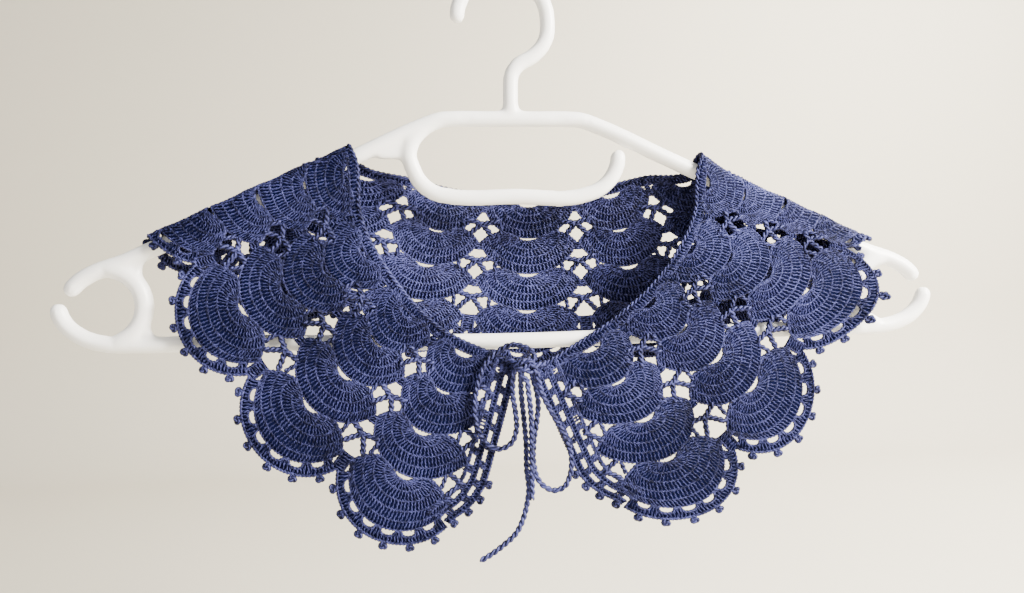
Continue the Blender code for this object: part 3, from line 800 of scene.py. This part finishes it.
def scallop(strands, strip, rng):
    """The scalloped edging: an arched chain over each gap, short posts out to a twisted
    rim, and a picot in the middle of each of the six loops."""
    angle = np.linspace(-SCALLOP_REACH, SCALLOP_REACH, EDGING_POINTS)
    twisted(strands, strip, scallop_line(loop_inner(angle), angle), ARCH_EDGE)
    twisted(strands, strip, scallop_line(LOOP_OUTER, angle), RIM_EDGE, lift=RIM_LIFT)
    angle = middles(-SCALLOP_REACH, SCALLOP_REACH, STITCH_PITCH / EDGING_RADIUS)
    posts(strands, strip, scallop_line(loop_inner(angle), angle),
          scallop_line(EDGING_TOP, angle), rng, EDGING_POST)
    for number in range(PICOTS):
        angle = (number - (PICOTS - 1) / 2.0) * PICOT_SPACING
        centre, beyond = scallop_line(SCALLOP_RADIUS + np.array(PICOT_REACHES), angle)
        picot(strands, strip, centre, beyond)


def lattice(strands, seam, rng):
    """The lattice on a seam: in each diamond an X of chains with a short bar each side, and
    between the diamonds the stitches that join the fans. An open edge has only its inner half."""
    strip = Strip.seam(seam)
    inner_side = {0: 1.0, COLUMNS: -1.0}.get(seam, 0.0)
    t = np.linspace(0.0, 1.0, 6)
    for depth in DIAMOND_DEPTHS:
        for x0, y0, x1, y1, bow, width in LATTICE:
            if x1 * inner_side >= 0.0:
                x = x0 + (x1 - x0) * t + bow * np.sin(t * np.pi)
                chain(strands, strip, pairs(x, depth + y0 + (y1 - y0) * t), width)
    for start, end, half in JOINS[:-1] if inner_side else JOINS:
        at = middles(start, end, JOIN_PITCH)
        posts(strands, strip, pairs(-half, at), pairs(half, at + POST_SKEW), rng, JOIN_POST)
    if not inner_side:
        start, end, half = JOINS[-1]
        for across in (-half, half):
            twisted(strands, strip, pairs(across, np.linspace(start, end, 12)), JOIN_EDGE)


def border_line(seam, y, inset):
    """Points of a line a given inset from an open front edge, about its seam."""
    out = 1.0 if seam else -1.0
    depths, shares = zip(*FRONT_EDGE_LINE)
    return pairs(out * (np.interp(y, depths, shares) * column_width(y) - inset), y)


def front_border(strands, seam, rng):
    """The open front edge: bands of short posts between twisted rims, groups of posts between
    the bands that leave long slits, and picots on its lower half."""
    strip = Strip.seam(seam)
    y = np.linspace(*BORDER_SPAN, 60)
    at = middles(*BORDER_POSTS, STITCH_PITCH)
    for number, (near, far) in enumerate(BORDER_BANDS):
        twisted(strands, strip, border_line(seam, y, near), ARCH_EDGE if number else RIM_EDGE,
                lift=RIM_LIFT)
        twisted(strands, strip, border_line(seam, y, far), ARCH_EDGE)
        posts(strands, strip, border_line(seam, at, far),
              border_line(seam, at, near) + (0.0, BORDER_SKEW), rng, BORDER_POST)
    start, end, step = BORDER_GROUPS
    for number, (outer, inner) in enumerate(zip(BORDER_BANDS[:-1], BORDER_BANDS[1:])):
        first = np.arange(start + number * step / 2.0, end, step)[:, None]
        at = (first + np.array(BORDER_GROUP)).ravel()
        posts(strands, strip, border_line(seam, at, inner[0]),
              border_line(seam, at + POST_SKEW, outer[1]), rng, GROUP_POST)
    for depth in FRONT_PICOTS:
        above, below = border_line(seam, depth + np.array([-1.0, 1.0]), 0.0)
        along = below - above if seam else above - below
        centre = border_line(seam, depth, -FRONT_PICOT_REACH)
        picot(strands, strip, centre, centre + along[::-1] * (1.0, -1.0))


def shade_sheet_shell(strip, grid):
    """A thin shell under the stitches over a grid of (x, y), as a part, and its flat area:
    half the cross product of each face's diagonals."""
    x, y = grid[..., 0], grid[..., 1]
    part = grid_shell(strip.at(x, y, SHADE_SHEET_HALF)[0], strip.at(x, y, -SHADE_SHEET_HALF)[0])
    one = grid[1:, 1:] - grid[:-1, :-1]
    other = grid[1:, :-1] - grid[:-1, 1:]
    cross = one[..., 0] * other[..., 1] - one[..., 1] * other[..., 0]
    return part, np.abs(cross).sum() / 2.0


def fan_shade_sheet(strip, number):
    """The near-black sheet of painted shade between a fan's posts."""
    depth, rows = fan_rows(number)
    steps = np.linspace(0.0, len(rows) - 1.0, 3 * len(rows) - 2)
    table = read_along(steps, np.arange(len(rows)), rows) - SHADE_SHEET_INSET
    share = np.linspace(-1.0, 1.0, SHADE_SHEET_ACROSS)
    return shade_sheet_shell(strip, ellipse(depth, table.T[:, :, None], share))


def band_shade_sheet(strip, inner, outer):
    """The sheet of painted shade under a band of posts, between two matching lines."""
    share = np.array(SHADE_SHEET_SHARES)[:, None, None]
    return shade_sheet_shell(strip, inner * (1.0 - share) + outer * share)


def painted_shade(column, name):
    """All the sheet of painted shade of a column as one piece, and its flat area in square mm."""
    strip = Strip.column(column)
    shells = [fan_shade_sheet(strip, number) for number in range(len(CRESCENT_DEPTHS))]
    angle = np.linspace(-SCALLOP_REACH, SCALLOP_REACH, 61)
    inner = scallop_line(loop_inner(angle), angle)
    shells.append(band_shade_sheet(strip, inner, scallop_line(LOOP_OUTER, angle)))
    for start, end, half in JOINS if column else ():
        y = np.linspace(start, end, 5)
        shells.append(band_shade_sheet(Strip.seam(column), pairs(half, y), pairs(-half, y)))
    seam = {0: 0, COLUMNS - 1: COLUMNS}.get(column)
    y = np.linspace(*SHADE_SHEET_BORDER, 50)
    for near, far in BORDER_BANDS if seam is not None else ():
        lines = border_line(seam, y, near), border_line(seam, y, far)
        shells.append(band_shade_sheet(Strip.seam(seam), *lines))
    parts, areas = zip(*shells)
    return mesh_piece(name, merged(parts), painted_shade_finish()), sum(areas)


def lace_column(column):
    """All the stitches of one column, and the near-black sheet of painted shade under them."""
    rng = np.random.default_rng(100 + column)
    strands = Strands(thread_swell())
    strip = Strip.column(column)
    for number in range(len(CRESCENT_DEPTHS)):
        fan(strands, strip, number, rng)
    scallop(strands, strip, rng)
    lattice(strands, column, rng)
    if column == 0:
        front_border(strands, 0, rng)
    if column == COLUMNS - 1:
        lattice(strands, COLUMNS, rng)
        front_border(strands, COLUMNS, rng)
    number = "%02d" % (column + 1)
    stitches = strands.piece("lace_stitches_" + number, yarn_finish())
    base, area = painted_shade(column, "lace_ground_" + number)
    for piece in (stitches, base):
        stand_for(piece, "navy_cotton", "lace_column_" + number)


def neck_edging():
    """The neck edge: a chain along the edge and a row of short posts under it."""
    rng = np.random.default_rng(7)
    strands = Strands(thread_swell())
    s = np.linspace(-FRONT_EDGE, COLUMNS + FRONT_EDGE, NECK_POINTS)
    rope(strands, *CLOTH.at(s, np.full_like(s, NECK_CHAIN_DEPTH)), NECK_CHAIN)
    width = column_width(NECK_WIDTH_DEPTH)
    for column in range(COLUMNS):
        low = -width / 2.0 - (FRONT_EDGE * width if column == 0 else 0.0)
        high = width / 2.0 + (FRONT_EDGE * width if column == COLUMNS - 1 else 0.0)
        x = middles(low, high, STITCH_PITCH)
        strip = Strip(column + 0.5)
        base, top = (pairs(x, depth) for depth in NECK_POSTS)
        posts(strands, strip, base, top, rng, NECK_POST)
        twisted(strands, strip, pairs(np.linspace(low, high, 40), NECK_EDGE_DEPTH), PLAIN_EDGE)
    return strands.piece("neck_edging", yarn_finish())


def neck_ground():
    """The sheet of painted shade between the posts of the neck edge."""
    past = FRONT_EDGE - NECK_SHADE_SHEET_INSET
    along = np.linspace(-past, COLUMNS + past, NECK_SHADE_SHEET_POINTS)
    s, d = np.meshgrid(along, NECK_SHADE_SHEET_DEPTHS)
    x = (s - np.clip(np.floor(s), 0, COLUMNS - 1) - 0.5) * column_width(d)
    place, normal = CLOTH.at(s, d)
    front, rear = (place + normal * (relief(x, d)[..., None] + half)
                   for half in (SHADE_SHEET_HALF, -SHADE_SHEET_HALF))
    return mesh_piece("neck_ground", grid_shell(front, rear), painted_shade_finish())


# The tie


def cord_rope(strands, route, end=(1.0, 1.0, 1.0)):
    """A chain-stitched cord along a route. Gives the points it follows."""
    path = smooth_route(route, 1.0)
    tangent = unit(np.gradient(path, axis=0))
    normal = np.cross(np.cross(tangent, (0.0, -1.0, 0.0)), tangent)
    rope(strands, path, normal, TIE_CORD, 7, end)
    return path


def knot_piece():
    """The knot: the cord crossing inside it, and its turns round the middle of the bow, each a
    leaning ellipse."""
    strands = Strands(thread_swell())
    for route in KNOT_STRANDS:
        cord_rope(strands, route)
    turn = np.linspace(0.0, 2.0 * np.pi, 60)[:, None]
    for height, wide, deep, lean in KNOT_WRAPS:
        across = np.array([math.cos(math.radians(lean)), 0.0, math.sin(math.radians(lean))])
        back = np.array([0.0, 1.0, 0.0])
        path = wide * np.cos(turn) * across + deep * np.sin(turn) * back
        path = path + KNOT_CENTRE + (0.0, 0.0, height)
        rope(strands, path, np.cos(turn) * across + np.sin(turn) * back, TIE_CORD, 6)
    return strands.piece("tie_knot_wraps", yarn_finish())


# The hanger


def bar(route, radius):
    """A round bar with domed ends, as a part: rings of a circle carried along a route."""
    path = np.asarray(route)
    cap = np.radians(CAP_ANGLES)[:, None]
    start = path[0] + unit(path[0] - path[1]) * radius * np.sin(cap)
    finish = path[-1] + unit(path[-1] - path[-2]) * radius * np.sin(cap[::-1])
    size = radius * np.cos(cap[:, 0]) + CAP_TIP
    sizes = np.concatenate([size, np.full(len(path), radius), size[::-1]])
    strands = Strands()
    path = np.concatenate([start, path, finish])[None]
    strands.add(path, (0.0, -1.0, 0.0), sizes, BAR_SIDES)
    return strands.parts[0]


def upright(points):
    """Places in the hanger's middle plane from points (x, z)."""
    return np.insert(np.array(points), 1, 0.0, axis=1)


def both_sides(points):
    """Places from points (distance from the stem, z), out to both sides of the stem."""
    right = np.array(points)
    left = right[::-1][right[::-1, 0] > 0.0] * (-1.0, 1.0)
    return upright(np.concatenate([left, right]) + (STEM_X, 0.0))


def hanger_routes():
    """Every bar of the moulded hanger: its route and radius."""
    radius = HOOK_INNER_RADIUS + HOOK_RADIUS
    turn = np.radians(np.arange(171.0, -1.0, -9.0))
    arc = pairs(radius * np.cos(turn), radius * np.sin(turn) - HOOK_INNER_RADIUS)
    bend = smooth_route(upright([(radius, -HOOK_INNER_RADIUS), *HOOK_BEND]), 2.0)
    yield np.concatenate([upright([HOOK_TIP, *arc]), bend[1:]]), HOOK_RADIUS
    arm = [(reach, arm_height(reach)) for reach in ARM_REACHES]
    yield smooth_route(both_sides([*SHOULDER_START, *arm, *SHOULDER_END])), BAR_RADIUS
    yield smooth_route(both_sides([*LOWER_START, *LOWER_END])), BAR_RADIUS
    yield smooth_route(upright(LOOP_ROUTE)), LOOP_TUBE_RADIUS
    turn = np.radians(np.arange(246.0, 97.0, -6.0))
    for side in (-1.0, 1.0):
        x = STEM_X + side * (RING_REACH + RING_RADIUS * np.cos(turn))
        yield upright(pairs(x, RING_Z + RING_RADIUS * np.sin(turn))), RING_TUBE_RADIUS


def web(corners):
    """A flat web between bars, as a part: its corners in order round their middle."""
    flat = np.array(corners)
    x, z = (flat - flat.mean(axis=0)).T
    near = upright(flat[np.argsort(np.arctan2(z, x))]) - (0.0, WEB_HALF, 0.0)
    n = len(flat)
    index = np.arange(n)
    after = np.roll(index, -1)
    walls = np.stack([after, index, index + n, after + n], axis=1).ravel()
    return (np.concatenate([near, near + (0.0, 2.0 * WEB_HALF, 0.0)]),
            np.concatenate([index, index[::-1] + n, walls]), np.repeat([n, 4], [2, n]))


def hanger_body():
    """The hanger as one moulding: its bars and webs joined by a voxel remesh, then softened
    so that each joint gets a fillet."""
    parts = [bar(route, radius) for route, radius in hanger_routes()]
    parts += [web(corners) for corners in WEBS]
    rough = mesh_piece("hanger_rough", merged(parts), plastic_finish())
    remesh = rough.modifiers.new("join", "REMESH")
    remesh.mode = "VOXEL"
    remesh.voxel_size = bpy.context.scene.lace_collar_hanger.voxel
    soften = rough.modifiers.new("fillet", "SMOOTH")
    soften.factor, soften.iterations = FILLET_SMOOTHING
    ready = rough.evaluated_get(bpy.context.evaluated_depsgraph_get())
    mesh = bpy.data.meshes.new_from_object(ready)
    bpy.data.objects.remove(rough, do_unlink=True)
    mesh.name = "hanger_body"
    mesh.shade_smooth()
    mesh.materials.clear()
    mesh.materials.append(plastic_finish())
    return add_object("hanger_body", mesh)


# Materials. Object coordinates are in metres, so a scale is a count of features to the metre.


def start_material(name):
    """A new material, its node tree, its coordinates and its shader."""
    made = bpy.data.materials.new(name)
    made.use_nodes = True
    tree = made.node_tree
    return made, tree, add_node(tree, "TexCoord"), tree.nodes["Principled BSDF"]


def yarn_material(name, dark, light, fuzz, shine):
    """Mercerised cotton crochet thread, spun and dyed navy: a soft sheen, the plies winding
    round each strand, dye that varies a little from stitch to stitch, and painted shade that
    darkens each strand's two flanks and lightens its top and underside."""
    made, tree, place, shader = start_material(name)
    here = {"Vector": (place, "Object")}
    # Dye in patches of 36 mm, about two fans, and flecks of 1.6 mm, one stitch
    patches = add_node(tree, "TexNoise", {"Scale": 28.0, "Detail": 3.0}, here)
    flecks = add_node(tree, "TexNoise",
                      {"Scale": 620.0, "Detail": 3.0, "Roughness": 0.7}, here)
    # Painted shade on each strand: darker on its two flanks, lighter on its top and underside, two
    # waves round it
    parts = add_node(tree, "SeparateXYZ", (), {"Vector": (place, "UV")})
    turn = add_node(tree, "Math", {1: 4.0 * math.pi}, {0: (parts, "Y")},
                    operation="MULTIPLY")
    painted_strand_shade = add_node(tree, "Math", (), {0: (turn, "Value")}, operation="COSINE")
    mottle = add_node(tree, "Math", {1: 2.2}, {0: (flecks, "Fac"), 2: (patches, "Fac")},
                      operation="MULTIPLY_ADD")
    # Painted shade of the strand added to the dye's mottle
    shade_and_dye = add_node(tree, "Math", {1: 0.22}, {0: (painted_strand_shade, "Value"), 2: (mottle, "Value")},
                    operation="MULTIPLY_ADD")
    shade = add_node(tree, "MapRange", {"From Min": 1.44, "From Max": 2.16},
                     {"Value": (shade_and_dye, "Value")})
    # The ramp turns painted shade and dye together into colour, from the dark stop to the light
    # one
    ramp = add_node(tree, "ValToRGB", (), {"Fac": (shade, "Result")})
    set_ramp(ramp, ((0.0, dark), (1.0, light)))
    # The plies' slanting lines, one to each turn of 1.5 mm, and the fibres' roughness
    plies = add_node(tree, "TexWave", {"Scale": 0.62, "Distortion": 0.6, "Detail": 1.0},
                     {"Vector": (place, "UV")}, wave_type="BANDS", bands_direction="DIAGONAL")
    ply_bump = add_node(tree, "Bump", {"Strength": 0.5, "Distance": 0.12 * MM},
                        {"Height": (plies, "Fac")})
    fibre_bump = add_node(tree, "Bump", {"Strength": 0.35, "Distance": 0.06 * MM},
                          {"Height": (flecks, "Fac"), "Normal": (ply_bump, "Normal")})
    feed(tree, shader,
         {"Roughness": 0.58, "IOR": 1.5, "Specular IOR Level": shine, "Sheen Weight": fuzz,
          "Sheen Roughness": 0.45, "Sheen Tint": hex_linear("#8d96cf")},
         {"Base Color": (ramp, "Color"), "Normal": (fibre_bump, "Normal")})
    return made


def plastic_material(name, shade, white):
    """Injection moulded white polypropylene: semi gloss, with the slight waviness of the
    mould and fine handling marks that break up its highlights."""
    made, tree, place, shader = start_material(name)
    here = {"Vector": (place, "Object")}
    # Faint clouds of 56 mm, handling marks of 4 mm and the mould's waves of 17 mm
    cloud = add_node(tree, "TexNoise", {"Scale": 18.0, "Detail": 2.0}, here)
    ramp = add_node(tree, "ValToRGB", (), {"Fac": (cloud, "Fac")})
    set_ramp(ramp, ((0.35, shade), (0.65, white)))
    marks = add_node(tree, "TexNoise", {"Scale": 240.0, "Detail": 4.0}, here)
    gloss = add_node(tree, "MapRange", {"To Min": 0.26, "To Max": 0.42},
                     {"Value": (marks, "Fac")})
    wavy = add_node(tree, "TexNoise", {"Scale": 60.0, "Detail": 1.0}, here)
    bump = add_node(tree, "Bump", {"Strength": 0.15, "Distance": 0.3 * MM},
                    {"Height": (wavy, "Fac")})
    feed(tree, shader, {"IOR": 1.49}, {"Base Color": (ramp, "Color"),
                                       "Roughness": (gloss, "Result"), "Normal": (bump, "Normal")})
    return made


def wall_material(paint):
    """Painted plaster, matt and warm off-white, with a faint roller texture."""
    made, tree, place, shader = start_material("matt_painted_wall")
    # Roller marks of about 6 mm, drawn out sideways so that they still show at the wall's distance
    level = add_node(tree, "Mapping", {"Scale": (0.35, 1.0, 1.6)},
                     {"Vector": (place, "Object")})
    grain = add_node(tree, "TexNoise", {"Scale": 170.0, "Detail": 4.0},
                     {"Vector": (level, "Vector")})
    bump = add_node(tree, "Bump", {"Strength": 0.35, "Distance": 0.8 * MM},
                    {"Height": (grain, "Fac")})
    feed(tree, shader, {"Roughness": 0.9, "Base Color": hex_linear(paint)},
         {"Normal": (bump, "Normal")})
    return made


def yarn_finish():
    """The thread of every stitch, made when it is first asked for."""
    name = "navy_cotton_yarn"
    look = bpy.context.scene.lace_collar_yarn
    return bpy.data.materials.get(name) or yarn_material(
        name, look.dark, look.light, look.sheen, YARN_SHINE)


def painted_shade_finish():
    """The same cotton material in one near-black colour that paints the shade between the
    stitches, without their sheen.
    """
    name = "navy_cotton_ground"
    look = bpy.context.scene.lace_collar_yarn
    return bpy.data.materials.get(name) or yarn_material(
        name, look.painted_shade, look.painted_shade, 0.0, SHADE_SHEET_SHINE)


def plastic_finish():
    """The hanger's plastic."""
    name = "moulded_white_polypropylene"
    look = bpy.context.scene.lace_collar_hanger
    return bpy.data.materials.get(name) or plastic_material(name, look.shade, look.white)


# Stage


def backdrop(paint):
    """A pale sweep: a floor that curves up into a wall behind the collar, its profile carried
    across its width."""
    turn = np.linspace(0.0, np.pi / 2.0, 14)
    curve_y = WALL_Y - SWEEP_BEND + SWEEP_BEND * np.sin(turn)
    curve_z = FLOOR_Z + SWEEP_BEND - SWEEP_BEND * np.cos(turn)
    y = np.concatenate([FLOOR_YS, curve_y, [WALL_Y, WALL_Y]])
    z = np.concatenate([[FLOOR_Z, FLOOR_Z], curve_z, WALL_ZS])
    x = np.repeat([-SWEEP_HALF_WIDTH, SWEEP_HALF_WIDTH], len(y))
    index = np.arange(len(y) - 1)
    faces = np.stack([index, index + len(y), index + len(y) + 1, index + 1], axis=1)
    points = np.stack([x, np.tile(y, 2), np.tile(z, 2)], axis=1)
    part = points, faces.ravel(), np.full(len(faces), 4)
    mesh_piece("backdrop", part, wall_material(paint))


def area_light(name, place, aim, size, colour, power):
    """A square soft light at a place in metres, turned to its aim."""
    data = bpy.data.lights.new(name, "AREA")
    data.size = size
    data.energy = power
    data.color = hex_linear(colour)[:3]
    item = add_object(name, data)
    item.location = place
    item.rotation_euler = (Vector(aim) - Vector(place)).to_track_quat("-Z", "Y").to_euler()
    item.visible_camera = False


def camera():
    """The photograph's camera: its forward direction turned by the yaw, then rolled."""
    forward = Vector((math.sin(CAMERA_YAW), math.cos(CAMERA_YAW), 0.0))
    right = forward.cross(Vector((0.0, 0.0, 1.0))).normalized()
    up = right.cross(forward)
    cos, sin = math.cos(CAMERA_ROLL), math.sin(CAMERA_ROLL)
    across = cos * right + sin * up
    upward = -sin * right + cos * up
    rows = [(across[i], upward[i], -forward[i], CAMERA_PLACE[i] * MM) for i in range(3)]
    data = bpy.data.cameras.new("photo_camera")
    data.sensor_width = SENSOR
    data.lens = FOCAL_PIXELS * SENSOR / PHOTO_WIDTH
    data.clip_start = 0.01
    item = add_object("photo_camera", data)
    item.matrix_world = Matrix(rows + [(0.0, 0.0, 0.0, 1.0)])
    bpy.context.scene.camera = item


# Add-on


class LaceCollarYarn(bpy.types.PropertyGroup):
    """Colours and sheen of the yarn."""

    # The ramp from dark to light colours both the dye and painted shade: each strand's flanks are
    # pulled towards the dark colour, its top and underside towards the light one
    dark: bpy.props.StringProperty(
        name="Dark yarn", description="sRGB hex colour of the yarn's darker dye",
        default="#070922")
    light: bpy.props.StringProperty(
        name="Light yarn", description="sRGB hex colour of the yarn's lighter dye",
        default="#4c4f86")
    # Near-black colour of the sheet of painted shade that shows between the posts
    painted_shade: bpy.props.StringProperty(
        name="Ground", description="sRGB hex colour between the posts", default="#070a24")
    sheen: bpy.props.FloatProperty(
        name="Sheen", description="Weight of the cotton's sheen", default=0.03, min=0.0, max=1.0)
    thickness: bpy.props.FloatProperty(
        name="Strand thickness", description="Thickness of one strand of a stitch",
        default=2.0 * STRAND_RADIUS * MM, min=0.0004, max=0.0012, precision=5, unit="LENGTH")


class LaceCollarHanger(bpy.types.PropertyGroup):
    """Colours of the hanger and the size of its fillets."""

    shade: bpy.props.StringProperty(
        name="Darker plastic", description="sRGB hex colour of the plastic's darker patches",
        default="#f6f5f1")
    white: bpy.props.StringProperty(
        name="Lighter plastic", description="sRGB hex colour of the plastic", default="#fdfcfa")
    voxel: bpy.props.FloatProperty(
        name="Grain of the join", description="Voxel size that joins the bars into one moulding",
        default=1.3 * MM, min=0.0011, max=0.003, precision=5, unit="LENGTH")


class LaceCollarStage(bpy.types.PropertyGroup):
    """Lights and wall of the stage."""

    paint: bpy.props.StringProperty(
        name="Wall paint", description="sRGB hex colour of the wall and floor",
        default="#dfd8c7")
    key: bpy.props.FloatProperty(
        name="Key light", description="Power of the large front light", default=47.0,
        unit="POWER")
    fill: bpy.props.FloatProperty(
        name="Fill light", description="Power of the fill light", default=3.0, unit="POWER")
    wall: bpy.props.FloatProperty(
        name="Wall light", description="Power of the light on the backdrop", default=50.0,
        unit="POWER")
    world: bpy.props.FloatProperty(
        name="Surroundings", description="Strength of the even light all round", default=0.72,
        min=0.0)


class COLLAR_OT_camera(bpy.types.Operator):
    """Add the camera at the photograph's viewing angle"""

    bl_idname = "lace_collar.camera"
    bl_label = "Camera"

    def execute(self, context):
        camera()
        return {"FINISHED"}


class COLLAR_OT_tie(bpy.types.Operator):
    """Add the tie: the bow's two loops, its two free ends and its knot"""

    bl_idname = "lace_collar.tie"
    bl_label = "Tie"

    def execute(self, context):
        knot = knot_piece()
        stand_for(knot, "navy_cotton", "tie_knot")
        for name, ends, route in TIE_ROUTES:
            strands = Strands(thread_swell())
            path = cord_rope(strands, route, BARE_END if ends == "bare" else (1.0, 1.0, 1.0)) * MM
            cord = strands.piece(name + "_cord", yarn_finish())
            stand_for(cord, "navy_cotton", name)
        return {"FINISHED"}


class COLLAR_OT_hanger(bpy.types.Operator):
    """Add the hanger as one smooth moulding"""

    bl_idname = "lace_collar.hanger"
    bl_label = "Hanger"

    def execute(self, context):
        stand_for(hanger_body(), "hanger_plastic", "hook", "shoulder_bar", "lower_bar",
                  "scarf_loop", "end_ring_left", "end_ring_right")
        return {"FINISHED"}


class COLLAR_OT_lace(bpy.types.Operator):
    """Add the 13 columns of fans, their lattice and their scalloped edging"""

    bl_idname = "lace_collar.lace"
    bl_label = "Lace"

    def execute(self, context):
        for column in range(COLUMNS):
            lace_column(column)
        return {"FINISHED"}


class COLLAR_OT_neck(bpy.types.Operator):
    """Add the edging along the neck"""

    bl_idname = "lace_collar.neck"
    bl_label = "Neck edging"

    def execute(self, context):
        for piece in (neck_edging(), neck_ground()):
            stand_for(piece, "navy_cotton", "neck_band")
        return {"FINISHED"}


class COLLAR_OT_stage(bpy.types.Operator):
    """Add the pale backdrop and the soft studio lights"""

    bl_idname = "lace_collar.stage"
    bl_label = "Stage"

    def execute(self, context):
        look = context.scene.lace_collar_stage
        backdrop(look.paint)
        for *light, power in LIGHTS:
            area_light(*light, getattr(look, power))
        world = context.scene.world or bpy.data.worlds.new("studio")
        context.scene.world = world
        world.use_nodes = True
        feed(world.node_tree, world.node_tree.nodes["Background"],
             {"Color": hex_linear("#f4f3f0"), "Strength": look.world})
        return {"FINISHED"}


class COLLAR_PT_panel(bpy.types.Panel):
    """Buttons for the pieces of the collar"""

    bl_label = "Lace collar"
    bl_idname = "COLLAR_PT_panel"
    bl_space_type = "VIEW_3D"
    bl_region_type = "UI"
    bl_category = "Lace collar"

    def draw(self, context):
        scene = context.scene
        for group in (scene.lace_collar_yarn, scene.lace_collar_hanger, scene.lace_collar_stage):
            for name in type(group).__annotations__:
                self.layout.prop(group, name)
        for operator in OPERATORS:
            self.layout.operator(operator.bl_idname)


OPERATORS = (COLLAR_OT_camera, COLLAR_OT_tie, COLLAR_OT_hanger, COLLAR_OT_lace, COLLAR_OT_neck,
             COLLAR_OT_stage)
CLASSES = (LaceCollarYarn, LaceCollarHanger, LaceCollarStage) + OPERATORS + (COLLAR_PT_panel,)


def register():
    for item in CLASSES:
        bpy.utils.register_class(item)
    bpy.types.Scene.lace_collar_yarn = bpy.props.PointerProperty(type=LaceCollarYarn)
    bpy.types.Scene.lace_collar_hanger = bpy.props.PointerProperty(type=LaceCollarHanger)
    bpy.types.Scene.lace_collar_stage = bpy.props.PointerProperty(type=LaceCollarStage)


def unregister():
    del bpy.types.Scene.lace_collar_stage
    del bpy.types.Scene.lace_collar_hanger
    del bpy.types.Scene.lace_collar_yarn
    for item in reversed(CLASSES):
        bpy.utils.unregister_class(item)


def main():
    register()
    bpy.ops.lace_collar.camera()
    bpy.ops.lace_collar.tie()
    bpy.ops.lace_collar.hanger()
    bpy.ops.lace_collar.lace()
    bpy.ops.lace_collar.neck()
    bpy.ops.lace_collar.stage()


if __name__ == "__main__":
    main()
